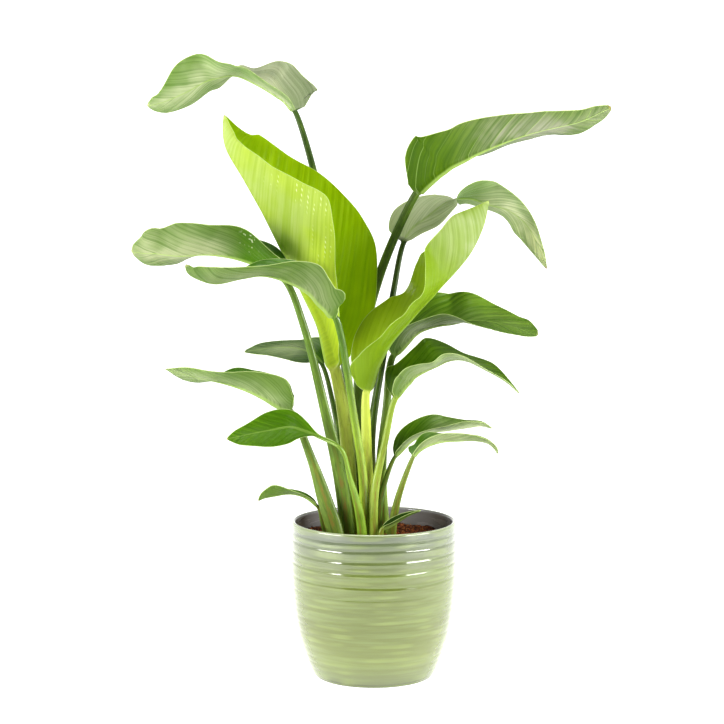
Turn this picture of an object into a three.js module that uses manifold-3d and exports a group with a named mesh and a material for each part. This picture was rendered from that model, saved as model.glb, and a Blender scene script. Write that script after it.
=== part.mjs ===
// A potted bird of paradise plant: sixteen leaves that rise from the soil of a glazed, ribbed pot.
// Millimetres, +Z up. The pot stands on z = 0 with its axis on x = y = 0, and -Y is the front.
import * as THREE from "three";
import { mergeVertices } from "three/addons/utils/BufferGeometryUtils.js";
import Module from "manifold-3d";

const wasm = await Module();
wasm.setup();

// Pot
const POT_HEIGHT = 178;
const POT_WALL = 4.6;
const POT_FLOOR = 9;
const POT_SEGMENTS = 40;
const RIM_RADIUS = 94;
const FOOT_RADIUS = 68.6;
const FOOT_BEVEL = 1.2;
const LIP_ROUND = 1.2;
const RIB_DEPTH = 0.9;
// Outer radius of the pot at heights above its base, before the ribs are thrown into it.
const POT_SIDE = [
  [0, FOOT_RADIUS], [10, 73.2], [19, 76.8], [29, 80.2], [38, 83.4], [47, 86.2],
  [66, 89.9], [85, 92.6], [104, 94.2], [122, 94.8], [150, 94.6], [POT_HEIGHT, RIM_RADIUS],
];
// Heights of the grooves between the throwing ribs.
const GROOVES = [13, 27, 40, 54, 66, 80, 92, 105, 118, 129, 141, 153];
// The plain bands of the side end at these heights.
const FOOT_BAND = 6;
const TOP_BAND = 166;
// Heights at which the inside of the pot turns, and how much narrower it is at the floor.
const INSIDE_HEIGHTS = [24, 46, 85, 121, 150];
const FLOOR_CORNER = [10, 4];

// Soil
const SOIL_TOP = 161;
const SOIL_CLEARANCE = 0.3;
const SOIL_LUMP = 2.2;
const SOIL_RINGS = 5;
const SOIL_DOME = 0.00025;
const LUMP_LENGTHS = [9, 11, 5];
const SMALL_LUMPS = 0.6;
// Extra distance of the soil from the wall at the lower corner and at each inside height.
const SOIL_CORNER = 5;
const SOIL_GAPS = [1, 1, 1, 0.6, 0.6];
const STEM_CLEARANCE = 0.4;

// Leaves
const FOOT_BOTTOM = 128;
const FOOT_TOP = 164;
const BLADE_THICKNESS = 0.9;
const BLADE_CURL = 10;
const TIP_KEEL = 1.5;
const KEEL_TAPER = 1.6;
const LEAST_HALF_WIDTH = 1;
const LOBE_REACH = 0.1;
const BLEND_INTERVALS = 0.5;
const OVAL_SPREAD = 78;
const NECK_DEPTH = 0.85;
const STALK_STEPS = 2;
const BLADE_STEPS = 2;
const MERGE_DISTANCE = 1e-4;
const TOWARD_FRONT = new THREE.Vector3(0, -1, 0);

const COLOURS = {
  pot: [0xb9c191, 0.22],
  soil: [0x6e4230, 0.95],
  lime: [0x9dbb3c, 0.4],
  green: [0x56803a, 0.38],
  deep: [0x3f6a26, 0.36],
  grey: [0x9bae7c, 0.45],
};

// foot: x, y, half width and half thickness of the stem in the soil.
// stalk: x, y, z and half width along the stem, from the soil to the blade.
// blade: x, y, z of the midrib, fold angle of each half in degrees, half width of each half.
// A fold angle turns about the midrib from the side on its left, seen from the front, towards
// the front, and the upper side of the leaf lies between the two halves.
// lobes: how far each half reaches back past the top of the stalk.
const LEAVES = {
  leaf_top_left: {
    colour: "grey", columns: 3, foot: [-20, 22, 6, 4], lobes: [2, 6],
    stalk: [[-27, 26, 278, 5], [-42, 50, 427, 4.5], [-69, 62, 574, 4], [-91, 65, 644, 3]],
    blade: [
      [-91, 65, 644, 105, 205, 8, 8], [-95, 65, 648, 103, 200, 14, 36],
      [-98, 65, 652, 102, 200, 20, 39], [-103, 65, 657, 100, 202, 27, 38],
      [-114, 64, 664, 100, 203, 33, 43], [-124, 63, 670, 99, 204, 37, 40],
      [-139, 61, 678, 100, 246, 40, 42], [-154, 58, 684, 103, 252, 40.5, 42],
      [-166, 56, 685, 101, 278, 42, 41], [-178, 53, 682, 111, 284, 40, 40],
      [-191, 51, 678, 143, 285, 38.5, 37], [-215, 47, 665, 143, 294, 37, 33],
      [-241, 44, 654, 140, 300, 15, 24], [-252, 43, 651, 140, 300, 10, 14],
      [-259, 42, 650, 140, 290, 2, 4],
    ],
  },
  leaf_centre_large: {
    colour: "lime", columns: 3, foot: [-24, 6, 9, 6], lobes: [0, 0],
    stalk: [[-27, 6, 223, 8.5], [-33, 5, 293, 8], [-43, 4, 348, 7]],
    blade: [
      [-43, 4, 348, 140, 215, 8, 10], [-49, 5, 370, 135, 200, 14, 34],
      [-58, 6, 401, 130, 190, 34, 66], [-79, 7, 442, 135, 188, 60, 94],
      [-98, 8, 478, 137, 187, 84, 97], [-116, 8, 511, 139, 188, 97, 89],
      [-131, 7, 538, 140, 189, 73, 77], [-146, 6, 565, 140, 190, 46, 57],
      [-166, 4, 601, 145, 190, 22, 40], [-169, 4, 620, 148, 190, 13, 22],
      [-168, 5, 638, 150, 190, 1, 1],
    ],
  },
  leaf_top_right: {
    colour: "green", columns: 3, foot: [-9, 12, 7, 4.5], lobes: [4, 4],
    stalk: [[-18, 18, 256, 6], [-14, 30, 371, 6], [8, 26, 461, 5.5], [48, 14, 550, 4.5]],
    blade: [
      [48, 14, 550, -45, 20, 6, 8], [54, 12, 556, -48, 18, 22, 22],
      [62, 10, 563, -50, 15, 34, 40], [73, 8, 572, -55, 18, 40, 51],
      [79, 7, 576, -57, 20, 42, 53], [86, 5, 581, -60, 22, 44, 45],
      [101, 3, 588, -78, 30, 46, 43.5], [117, 2, 596, -95, 38, 46, 47],
      [156, -3, 611, -96, 48, 45, 43], [191, -8, 621, -100, 53, 36, 35],
      [229, -14, 630, -120, 48, 24, 20], [249, -17, 639, -120, 48, 20, 14],
      [263, -20, 646, -120, 48, 5, 4],
    ],
  },
  leaf_arching_right: {
    colour: "grey", columns: 3, foot: [3, 9, 6, 4], lobes: [6, 2],
    stalk: [[-3, 14, 268, 5], [12, 30, 370, 4], [23, 38, 439, 3.5], [34, 42, 492, 3]],
    blade: [
      [34, 42, 492, -35, 115, 16, 8], [44, 43, 509, -38, 112, 36, 26],
      [63, 44, 524, -48, 112, 39, 38], [82, 45, 539, -70, 105, 40, 40],
      [90, 46, 543, -82, 98, 36, 38], [96, 46, 545, -100, 84, 34, 37],
      [103, 46, 545, -104, 70, 38, 42], [113, 47, 544, -100, 60, 42, 43.5],
      [133, 47, 537, -98, 48, 42, 39], [154, 45, 531, -105, 55, 38, 33],
      [175, 42, 515, -118, 58, 32, 18.5], [189, 40, 491, -120, 66, 21.5, 11],
      [199, 38, 463, -120, 60, 1, 1],
    ],
  },
  leaf_young_lime: {
    colour: "lime", columns: 3, foot: [-5, -2, 7, 5], lobes: [0, 0],
    stalk: [[-7, -6, 225, 6.5], [-9, -10, 282, 6], [-9, -14, 326, 4.5]],
    blade: [
      [-9, -14, 326, -30, 40, 6, 8], [-5, -15, 338, -24, 38, 18, 24],
      [-1, -16, 350, -20, 36, 28, 34], [3, -16, 360, -20, 38, 34, 28],
      [16, -18, 383, -35, 58, 45, 28], [39, -21, 409, -42, 73, 43, 36],
      [50, -22, 421, -50, 74, 36, 40], [63, -23, 434, -54, 73, 48, 44],
      [75, -23, 447, -46, 55, 53, 51], [87, -22, 459, -40, 28, 52, 50],
      [108, -19, 485, -50, 20, 42, 46], [122, -16, 515, -60, 20, 28, 37],
      [128, -13, 542, -60, 20, 1, 1],
    ],
  },
  leaf_upper_left: {
    colour: "grey", columns: 3, foot: [-30, -8, 9, 5], lobes: [0, 2],
    stalk: [[-37, -8, 225, 8.5], [-55, -10, 305, 6], [-79, -13, 402, 4.5], [-99, -14, 452, 4]],
    blade: [
      [-99, -14, 452, 150, 210, 6, 8], [-119, -13, 467, 125, 222, 34, 32],
      [-151, -11, 478, 146, 238, 42, 42], [-184, -8, 482, 143, 258, 43, 44],
      [-218, -8, 480, 155, 278, 42, 42], [-239, -5, 482, 153, 292, 33, 34],
      [-247, -4, 483, 150, 300, 33, 29], [-258, -2, 483, 150, 302, 26, 28],
      [-266, -1, 484, 150, 302, 17, 21], [-274, 0, 485, 150, 300, 6, 7],
    ],
  },
  leaf_front_twisted: {
    colour: "grey", columns: 3, foot: [-10, -13.5, 6, 4], lobes: [1, 1],
    stalk: [[-12, -17, 229, 5.5], [-22, -37, 300, 4.5], [-42, -62, 414, 4]],
    blade: [
      [-42, -62, 414, 150, 205, 3, 3], [-48, -63, 420, 149, 210, 14, 14],
      [-52, -64, 425, 148, 214, 31, 24], [-60, -65, 432, 148, 218, 28, 28],
      [-68, -66, 441, 149, 222, 30, 30], [-78, -68, 448, 146, 226, 38, 34],
      [-98, -71, 457, 129, 235, 38, 36], [-122, -75, 462, 109, 246, 37, 36],
      [-146, -78, 458, 113, 255, 36, 34], [-173, -81, 453, 127, 262, 33, 30],
      [-191, -83, 458, 135, 262, 24, 20], [-202, -84, 465, 137, 258, 16, 12],
      [-205, -84, 474, 135, 250, 5, 3],
    ],
  },
  leaf_rear_small_left: {
    colour: "deep", columns: 2, foot: [-36, 14, 5, 3.5], lobes: [0, 0],
    stalk: [[-38, 26, 255, 4], [-48, 42, 311, 3], [-59, 50, 350, 2.5]],
    blade: [
      [-59, 50, 350, 70, 215, 4, 8], [-69, 52, 363, 58, 218, 21, 26],
      [-90, 54, 371, 55, 248, 25, 22], [-119, 57, 371, 62, 250, 18, 17],
      [-137, 58, 368, 62, 238, 9, 11], [-151, 60, 366, 62, 240, 2, 2],
    ],
  },
  leaf_middle_left: {
    colour: "grey", columns: 3, foot: [-43, -20, 10, 5], lobes: [2, 1],
    stalk: [[-55, -19, 204, 9], [-70, -18, 250, 5.5], [-94, -14, 305, 3.5]],
    blade: [
      [-94, -14, 305, 150, 210, 9, 11], [-102, -14, 309, 150, 212, 25, 25],
      [-112, -14, 314, 152, 215, 35, 34], [-122, -15, 320, 152, 220, 36, 34],
      [-141, -17, 329, 142, 230, 32, 33], [-163, -18, 336, 126, 240, 30, 32],
      [-190, -20, 342, 120, 284, 26, 25], [-212, -21, 348, 122, 298, 18, 20],
      [-225, -21, 351, 124, 300, 9, 10], [-235, -22, 354, 120, 285, 1, 1],
    ],
  },
  leaf_lower_left: {
    colour: "deep", columns: 3, foot: [-13, -24, 5.5, 4], lobes: [0, 0],
    stalk: [[-17, -26, 194, 5], [-27, -30, 231, 3], [-37, -34, 265, 2.2]],
    blade: [
      [-37, -34, 265, 95, 225, 2.5, 2.5], [-63, -38, 280, 70, 225, 3, 3],
      [-77, -40, 286, 50, 218, 10, 12], [-94, -43, 291, 45, 217, 22, 22.5],
      [-115, -47, 288, 45, 218, 24, 24], [-138, -50, 284, 45, 222, 17.5, 15],
      [-153, -52, 281, 45, 222, 11, 9], [-164, -54, 279, 45, 222, 1, 1],
    ],
  },
  leaf_low_left_small: {
    colour: "green", columns: 2, foot: [-54, -10, 4.5, 3], lobes: [0, 0],
    stalk: [[-58, -12, 180, 3.5], [-63, -14, 195, 2]],
    blade: [
      [-63, -14, 195, 120, 230, 2, 2], [-76, -17, 207, 110, 240, 6, 6],
      [-93, -20, 212, 115, 245, 12, 9], [-112, -24, 210, 145, 240, 17, 16],
      [-124, -26, 208, 140, 240, 11, 11], [-131, -27, 205, 140, 240, 1, 1],
    ],
  },
  leaf_middle_right: {
    colour: "deep", columns: 3, foot: [11, 0, 7, 5], lobes: [4, 4],
    stalk: [[8, 1, 236, 6.5], [14, 4, 304, 5], [21, 10, 364, 4]],
    blade: [
      [21, 10, 364, -40, 40, 6, 8], [33, 10, 378, -25, 40, 26, 18],
      [50, 10, 394, -28, 63, 38, 30], [71, 9, 401, -30, 67, 41, 34],
      [88, 7, 403, -40, 70, 42, 38], [107, 6, 406, -40, 88, 41, 40],
      [132, 4, 405, -59, 98, 37, 38], [156, 1, 400, -66, 107, 30, 26],
      [172, -1, 395, -66, 109, 28.5, 19], [186, -2, 390, -66, 109, 10, 3],
    ],
  },
  leaf_lower_right: {
    colour: "deep", columns: 3, foot: [-1, -20, 5.5, 4], lobes: [4, 2],
    stalk: [[1, -20, 216, 5], [13, -14, 274, 4], [23, -10, 317, 3.5]],
    blade: [
      [23, -10, 317, -30, 60, 6, 6], [34, -11, 333, -15, 55, 28, 25],
      [40, -11, 339, -20, 58, 27, 29], [44, -12, 344, -25, 60, 25, 31],
      [56, -13, 351, -30, 68, 31, 34], [70, -14, 357, -30, 75, 37, 36],
      [83, -15, 363, -63, 72, 38, 38], [99, -16, 364, -79, 79, 30, 37],
      [129, -18, 351, -69, 84, 26, 28], [149, -19, 339, -69, 84, 11, 14],
      [164, -20, 326, -69, 84, 1, 1],
    ],
  },
  leaf_low_right_upper: {
    colour: "deep", columns: 2, foot: [5, -12, 4.5, 3], lobes: [0, 0],
    stalk: [[8, -14, 206, 3.5], [23, -4, 250, 2.3]],
    blade: [
      [23, -4, 250, -35, 50, 3, 3], [32, -4, 260, -25, 60, 14, 10],
      [44, -4, 271, -25, 68, 19, 16], [66, -4, 280, -25, 72, 21, 21],
      [84, -4, 282, -48, 68, 21, 22], [105, -4, 285, -62, 58, 16, 17],
      [123, -3, 287, -62, 58, 9, 9], [135, -2, 284, -62, 58, 1, 1],
    ],
  },
  leaf_low_right_lower: {
    colour: "grey", columns: 2, foot: [20, -14, 5.5, 4], lobes: [0, 0],
    stalk: [[27, -20, 206, 4], [44, -33, 256, 2.3]],
    blade: [
      [44, -33, 256, -30, 50, 4, 2.5], [46, -33, 259, -15, 58, 11, 5],
      [50, -34, 263, -12, 60, 9, 8], [59, -36, 269, -25, 55, 15, 13],
      [75, -37, 274, -65, 52, 17, 17], [97, -38, 275, -70, 54, 17, 17],
      [115, -39, 275, -70, 58, 13, 13], [128, -40, 272, -70, 60, 8, 8],
      [135, -40, 266, -70, 60, 7, 6], [139, -40, 260, -70, 60, 1, 1],
    ],
  },
  leaf_newest_sprout: {
    colour: "green", columns: 2, foot: [8, -26, 3.5, 2.5], lobes: [0, 0],
    stalk: [[9, -26, 172, 2.5]],
    blade: [
      [9, -26, 172, -45, 45, 2.5, 2.5], [19, -26, 177, -30, 60, 7, 6],
      [32, -26, 184, -35, 60, 7, 6], [43, -27, 190, -45, 60, 4, 4],
      [53, -27, 194, -45, 60, 1, 1],
    ],
  },
};

const smoothstep = (x) => THREE.MathUtils.smoothstep(x, 0, 1);

// A closed, indexed mesh from points and triangles.
function meshGeometry(points, triangles) {
  const geometry = new THREE.BufferGeometry();
  geometry.setAttribute("position", new THREE.Float32BufferAttribute(points.flat(), 3));
  geometry.setIndex(triangles.flat());
  return geometry;
}

// Rings of equal count joined to each other, with each end closed by strips.
function loft(rings) {
  const count = rings[0].length;
  const columns = count / 2;
  const points = rings.flat().map((point) => point.toArray());
  const triangles = [];
  for (let r = 0; r + 1 < rings.length; r++)
    for (let k = 0; k < count; k++) {
      const next = (k + 1) % count;
      const [a, b] = [r * count + k, r * count + next];
      const [c, d] = [a + count, b + count];
      // The lower face runs the other way round, so its diagonals are turned to match the upper.
      if (k < columns - 1) triangles.push([a, b, d], [a, d, c]);
      else triangles.push([a, b, c], [b, d, c]);
    }
  const last = (rings.length - 1) * count;
  // Strips across the thickness close each end.
  for (let k = 0; k + 1 < columns; k++) {
    const [a, b, c, d] = [k, k + 1, count - 2 - k, count - 1 - k];
    if (d === b) continue;
    triangles.push([a, d, c], [a, c, b]);
    triangles.push([last + a, last + c, last + d], [last + a, last + b, last + c]);
  }
  return meshGeometry(points, triangles);
}

// Smooth numbers through knots: uniform Catmull-Rom, with the ends run on straight.
function smoothNumbers(knots, at) {
  const i = Math.min(Math.floor(at), knots.length - 2);
  const t = at - i;
  return knots[0].map((_, n) => {
    const p1 = knots[i][n];
    const p2 = knots[i + 1][n];
    const p0 = i > 0 ? knots[i - 1][n] : 2 * p1 - p2;
    const p3 = i + 2 < knots.length ? knots[i + 2][n] : 2 * p2 - p1;
    const [s1, s2] = [(p2 - p0) / 2, (p3 - p1) / 2];
    return p1 + s1 * t + (3 * (p2 - p1) - 2 * s1 - s2) * t * t + (2 * (p1 - p2) + s1 + s2) * t ** 3;
  });
}

// The stations of a leaf: midrib points, frames and section sizes from foot to tip.
function stations(leaf) {
  const [footX, footY, footWidth, footDepth] = leaf.foot;
  const foot = [FOOT_BOTTOM, FOOT_TOP].map((z) => [footX, footY, z, footWidth]);
  const stalk = [...foot, ...leaf.stalk];
  const joint = stalk.length - 1;
  const spine = new THREE.CatmullRomCurve3(
    [...stalk, ...leaf.blade.slice(1)].map(([x, y, z]) => new THREE.Vector3(x, y, z)),
  );
  const intervals = spine.points.length - 1;
  const places = [0];
  for (let i = 0; i < intervals; i++) {
    const steps = i < joint ? (i === 0 ? 1 : STALK_STEPS) : BLADE_STEPS;
    for (let s = 1; s <= steps; s++) places.push(i + s / steps);
  }
  const points = places.map((at) => spine.getPoint(at / intervals));
  const length = [0];
  points.forEach((point, i) => i && length.push(length[i - 1] + point.distanceTo(points[i - 1])));
  const jointLength = length[places.indexOf(joint)];
  const bladeLength = length.at(-1) - jointLength;
  const neck = NECK_DEPTH * stalk[joint][3];
  return places.map((at, i) => {
    const ahead = points[Math.min(i + 1, points.length - 1)];
    const behind = points[Math.max(i - 1, 0)];
    const tangent = ahead.clone().sub(behind).normalize();
    const front = TOWARD_FRONT.clone().addScaledVector(tangent, -TOWARD_FRONT.dot(tangent)).normalize();
    const left = front.clone().cross(tangent);
    const onBlade = Math.max(at - joint, 0);
    const [, , , angleA, angleB, widthA, widthB] = smoothNumbers(leaf.blade, onBlade);
    const [, , , stalkWidth] = smoothNumbers(stalk, Math.min(at, joint));
    return {
      point: points[i], tangent, front, left,
      angles: [angleA, angleB],
      widths: [widthA, widthB].map((width) => Math.max(width, LEAST_HALF_WIDTH)),
      stalkWidth,
      stalkDepth: THREE.MathUtils.lerp(footDepth, neck, Math.min(at / joint, 1)),
      along: Math.max(length[i] - jointLength, 0) / bladeLength,
      blend: smoothstep(onBlade / BLEND_INTERVALS),
    };
  });
}

// A direction in the section plane, turned from the left towards the front.
function turned(station, degrees) {
  const angle = THREE.MathUtils.degToRad(degrees);
  return station.left.clone().multiplyScalar(Math.cos(angle))
    .addScaledVector(station.front, Math.sin(angle));
}

// The oval section of the stalk: upper points from the first half's side, then lower ones back.
// The oval is as wide as the stem looks from the front and as deep as it is from front to back.
function stalkRing(station, columns, growth = 0) {
  const up = (station.angles[0] + station.angles[1]) / 2;
  const ring = [];
  for (const facing of [up, up + 180])
    for (let k = -columns; k <= columns; k++) {
      const bearing = THREE.MathUtils.degToRad(facing + (OVAL_SPREAD * k) / columns);
      ring.push(station.point.clone()
        .addScaledVector(station.left, Math.cos(bearing) * (station.stalkWidth + growth))
        .addScaledVector(station.front, Math.sin(bearing) * (station.stalkDepth + growth)));
    }
  return ring;
}

// The folded section of the blade, in the same order as the stalk's ring.
function bladeRing(station, columns, lobes) {
  const middle = (station.angles[0] + station.angles[1]) / 2;
  const taper = Math.min(1, KEEL_TAPER * station.along);
  const keel = THREE.MathUtils.lerp(2 * station.stalkDepth, TIP_KEEL, taper);
  const halves = [0, 1].map((half) => {
    const sign = half === 0 ? 1 : -1;
    const upper = [station.point.clone()];
    const lower = [station.point.clone().addScaledVector(turned(station, middle), -keel)];
    const position = station.point.clone();
    for (let k = 1; k <= columns; k++) {
      const mid = (k - 0.5) / columns;
      const angle = station.angles[half] + sign * BLADE_CURL * (2 * mid - 1);
      position.addScaledVector(turned(station, angle), station.widths[half] / columns);
      const reach = lobes[half] * (k / columns) ** 2 * Math.exp(-station.along / LOBE_REACH);
      const point = position.clone().addScaledVector(station.tangent, -reach);
      upper.push(point);
      lower.push(point.clone().addScaledVector(turned(station, angle + sign * 90), -BLADE_THICKNESS));
    }
    return { upper, lower };
  });
  const row = (face) => [...halves[0][face].slice(1).reverse(), ...halves[1][face]];
  return [...row("upper"), ...row("lower").reverse()];
}

// One leaf, from the foot of its stem to the tip of its blade, as one closed loft.
function leafGeometry(leaf) {
  const rings = stations(leaf).map((station) => {
    const stalk = stalkRing(station, leaf.columns);
    if (station.blend === 0) return stalk;
    const blade = bladeRing(station, leaf.columns, leaf.lobes);
    return stalk.map((point, i) => point.lerp(blade[i], station.blend));
  });
  return loft(rings);
}

// The plain hole that a stem stands in: the stem's own oval, slightly larger.
function stemHole(leaf) {
  const [lower, upper] = stations(leaf).slice(0, 2);
  lower.point.z -= STEM_CLEARANCE;
  upper.point.z = SOIL_TOP + 4 * SOIL_LUMP;
  return loft([lower, upper].map((station) => stalkRing(station, leaf.columns, STEM_CLEARANCE)));
}

// Radius of the pot's outside at a height, with the groove of each throwing rib.
function potRadius(z) {
  const i = Math.min(POT_SIDE.findIndex(([height]) => height >= z), POT_SIDE.length - 1);
  const [z0, r0] = POT_SIDE[Math.max(i - 1, 0)];
  const [z1, r1] = POT_SIDE[i];
  const side = z1 > z0 ? THREE.MathUtils.mapLinear(z, z0, z1, r0, r1) : r1;
  return GROOVES.includes(z) ? side - RIB_DEPTH : side;
}

// Heights at which the pot's side is drawn: each groove and the crest of each rib.
function potHeights() {
  const crests = GROOVES.slice(1).map((groove, i) => Math.round((groove + GROOVES[i]) / 2));
  return [FOOT_BAND, ...GROOVES, ...crests, TOP_BAND].sort((a, b) => a - b);
}

function potGeometry() {
  const inner = (z) => potRadius(z) - POT_WALL;
  const [cornerHeight, cornerInset] = FLOOR_CORNER;
  const profile = [
    [0, 0], [FOOT_RADIUS - FOOT_BEVEL, 0], [FOOT_RADIUS, FOOT_BEVEL],
    ...potHeights().map((z) => [potRadius(z), z]),
    [RIM_RADIUS, POT_HEIGHT - LIP_ROUND], [RIM_RADIUS - LIP_ROUND, POT_HEIGHT],
    [RIM_RADIUS - POT_WALL + LIP_ROUND, POT_HEIGHT], [RIM_RADIUS - POT_WALL, POT_HEIGHT - LIP_ROUND],
    ...INSIDE_HEIGHTS.map((z) => [inner(z), z]).reverse(),
    [inner(cornerHeight) - cornerInset, POT_FLOOR], [0, POT_FLOOR],
  ];
  return solidGeometry(solidOf(latheGeometry(profile, POT_SEGMENTS)));
}

// A profile of [radius, height] from axis to axis, turned about the vertical axis.
function latheGeometry(profile, segments) {
  const points = profile.map(([radius, height]) => new THREE.Vector2(radius, height));
  return new THREE.LatheGeometry(points, segments).rotateX(Math.PI / 2);
}

// The solid between a closed mesh's faces, turned to face outwards.
function solidOf(source) {
  const bare = source.clone();
  bare.deleteAttribute("normal");
  bare.deleteAttribute("uv");
  const merged = mergeVertices(bare, MERGE_DISTANCE);
  const build = (triVerts) => new wasm.Manifold(
    new wasm.Mesh({ numProp: 3, vertProperties: merged.attributes.position.array, triVerts }),
  );
  const solid = build(new Uint32Array(merged.index.array));
  return solid.volume() > 0 ? solid : build(new Uint32Array(merged.index.array).reverse());
}

function solidGeometry(solid) {
  const mesh = solid.getMesh();
  const geometry = new THREE.BufferGeometry();
  geometry.setAttribute("position", new THREE.BufferAttribute(mesh.vertProperties, 3));
  geometry.setIndex(new THREE.BufferAttribute(mesh.triVerts, 1));
  return geometry;
}

// Coir soil that fills the pot, with a lumpy top and a hole for each stem.
function soilGeometry() {
  const wall = (z) => potRadius(z) - POT_WALL - SOIL_CLEARANCE;
  const bottom = POT_FLOOR + SOIL_CLEARANCE;
  const topRadius = wall(INSIDE_HEIGHTS.at(-1));
  const top = [];
  for (let ring = SOIL_RINGS; ring >= 0; ring--) top.push([(topRadius * ring) / SOIL_RINGS, SOIL_TOP]);
  const profile = [
    [0, bottom], [wall(FLOOR_CORNER[0]) - SOIL_CORNER, bottom],
    ...INSIDE_HEIGHTS.map((z, i) => [wall(z) - SOIL_GAPS[i], z]),
    ...top,
  ];
  const [waveX, waveY, waveSmall] = LUMP_LENGTHS;
  const plug = latheGeometry(profile, POT_SEGMENTS);
  const position = plug.attributes.position;
  for (let i = 0; i < position.count; i++) {
    const [x, y, z] = [position.getX(i), position.getY(i), position.getZ(i)];
    if (Math.abs(z - SOIL_TOP) > SOIL_CLEARANCE) continue;
    const lump = Math.sin(x / waveX) * Math.cos(y / waveY) + SMALL_LUMPS * Math.sin((x + y) / waveSmall);
    const height = (SOIL_LUMP * lump) / (1 + SMALL_LUMPS);
    position.setZ(i, SOIL_TOP + height - SOIL_DOME * (x * x + y * y));
  }
  const holes = Object.values(LEAVES).map((leaf) => solidOf(stemHole(leaf)));
  return solidGeometry(solidOf(plug).subtract(wasm.Manifold.union(holes)));
}

function part(name, geometry, colourName) {
  const [colour, roughness] = COLOURS[colourName];
  const material = new THREE.MeshStandardMaterial({ color: colour, roughness, metalness: 0 });
  const mesh = new THREE.Mesh(geometry, material);
  mesh.name = name;
  return mesh;
}

const plant = new THREE.Group();
plant.name = "potted_bird_of_paradise";
plant.add(part("pot", potGeometry(), "pot"));
plant.add(part("soil", soilGeometry(), "soil"));
for (const [name, leaf] of Object.entries(LEAVES))
  plant.add(part(name, solidGeometry(solidOf(leafGeometry(leaf))), leaf.colour));

export default plant;
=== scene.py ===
"""Potted bird of paradise: sixteen leaves that rise from coir soil in a ribbed, glazed pot."""

import math
import random

import bmesh
import bpy
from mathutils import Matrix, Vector, noise


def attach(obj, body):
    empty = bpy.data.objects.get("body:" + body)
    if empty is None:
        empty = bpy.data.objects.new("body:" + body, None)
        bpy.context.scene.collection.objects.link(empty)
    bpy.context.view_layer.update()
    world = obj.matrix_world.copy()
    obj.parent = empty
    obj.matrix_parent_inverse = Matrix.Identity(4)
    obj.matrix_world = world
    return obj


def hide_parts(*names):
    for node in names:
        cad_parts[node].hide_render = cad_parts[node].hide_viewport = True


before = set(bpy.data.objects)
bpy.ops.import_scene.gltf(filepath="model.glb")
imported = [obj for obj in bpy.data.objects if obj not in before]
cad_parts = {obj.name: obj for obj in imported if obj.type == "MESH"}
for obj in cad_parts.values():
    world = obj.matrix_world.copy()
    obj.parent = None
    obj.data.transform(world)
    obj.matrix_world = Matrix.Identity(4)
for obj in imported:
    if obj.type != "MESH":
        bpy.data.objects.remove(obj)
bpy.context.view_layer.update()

MM = 0.001

# Pot, in millimetres
POT_HEIGHT = 178
POT_WALL = 4.6
POT_FLOOR = 9
POT_STEPS = 160
RIM_RADIUS = 94
LIP_STEPS = 12
FOOT_RADIUS = 68.6
FOOT_ROUND = 1.6
FOOT_STEPS = 4
SIDE_STEP = 0.9
INSIDE_STEPS = 60
# The inner glaze starts on the lip after this turn from the outside, and fades in over the next.
INNER_GLAZE_TURN = 1.9
INNER_GLAZE_FADE = 0.5
# The inside slopes in to the floor over this height, and by this much.
INSIDE_SLOPE_HEIGHT = 6
INSIDE_SLOPE = 4
# Ring turned into the underside: distance in from the foot's edge, and height.
FOOT_RING = [[9, 0], [7, 0.8], [4, 0.8], [3, 0]]
# Outer radius at heights above the base.
POT_SIDE = [
    [0, FOOT_RADIUS], [10, 73.2], [19, 76.8], [29, 80.2], [38, 83.4], [47, 86.2],
    [66, 89.9], [85, 92.6], [104, 94.2], [122, 94.8], [150, 94.6], [POT_HEIGHT, RIM_RADIUS],
]
# Throwing grooves: height, depth and half width of each.
GROOVES = [
    [13, 0.2, 1.8], [22, 0.3, 1.7], [30, 0.25, 1.5], [39, 0.3, 1.8], [47, 0.25, 1.5], [56, 0.35, 1.8],
    [66, 0.3, 1.6], [74, 0.35, 1.7], [82, 0.35, 1.7], [89, 0.3, 1.5], [96, 0.25, 1.6], [105, 0.45, 1.5],
    [112, 0.15, 2.0], [119, 0.55, 1.6], [127, 0.15, 2.2], [134, 0.6, 1.6], [141, 0.15, 2.0],
    [147, 0.6, 1.5], [159, 0.55, 1.4], [168, 0.3, 1.5],
]
GROOVE_WANDER = 1.1
DEEPEST_CUT = 1.1
UNEVEN_CUT = 0.12
# What the vertices of the pot are marked with: on its side, depth of the groove, inside.
PLAIN = (0, 0, 0)
INSIDE = (0, 0, 1)
# Colour of the glaze at shares of the pot's height; the near-black first stops paint the shadow at its foot.
GLAZE_AND_FOOT_SHADOW_BANDS = [
    (0.0, "#16180f"), (0.014, "#4e5438"), (0.03, "#6a724c"), (0.16, "#6b743b"),
    (0.4, "#5c6527"), (0.72, "#5b6628"), (0.88, "#586142"), (1.0, "#545b4d"),
]
# The pale glaze on the lip fades in between these distances below the top.
LIP_BAND = (1.8, 0.4)

# Soil, in millimetres
SOIL_TOP = 161
SOIL_CLEARANCE = 0.3
SOIL_LUMP = 2.2
SOIL_FALL = 0.00025
SOIL_RIM_HEIGHT = 150
SOIL_HEIGHTS = (24, 35, 46, 60, 85, 105, 121, 135, SOIL_RIM_HEIGHT)
SOIL_RINGS = 64
SOIL_STEPS = 120
CRUMB_HEIGHT = 2.2
FIBRES = 900
FIBRE_MARGIN = 5
FIBRE_POINTS = 5

# Stems, in millimetres and degrees. A stem stands upright in the soil from FOOT_BOTTOM to FOOT_TOP.
FOOT_BOTTOM = 128
FOOT_TOP = 164
STALK_STEP = 5
NECK_DEPTH = 0.85
OVAL_SPREAD = 78
CHANNEL_DEPTH = 0.1
CHANNEL_WIDTH = 0.32
STREAK_LENGTH = 90

# Blades, in millimetres and degrees
BLADE_STEP = 2.3
TANGENT_REACH = 0.5
BLADE_THICKNESS = 0.55
MARGIN_THICKNESS = 0.3
MARGIN_TAPER = 2
BLADE_CURL = 10
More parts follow.
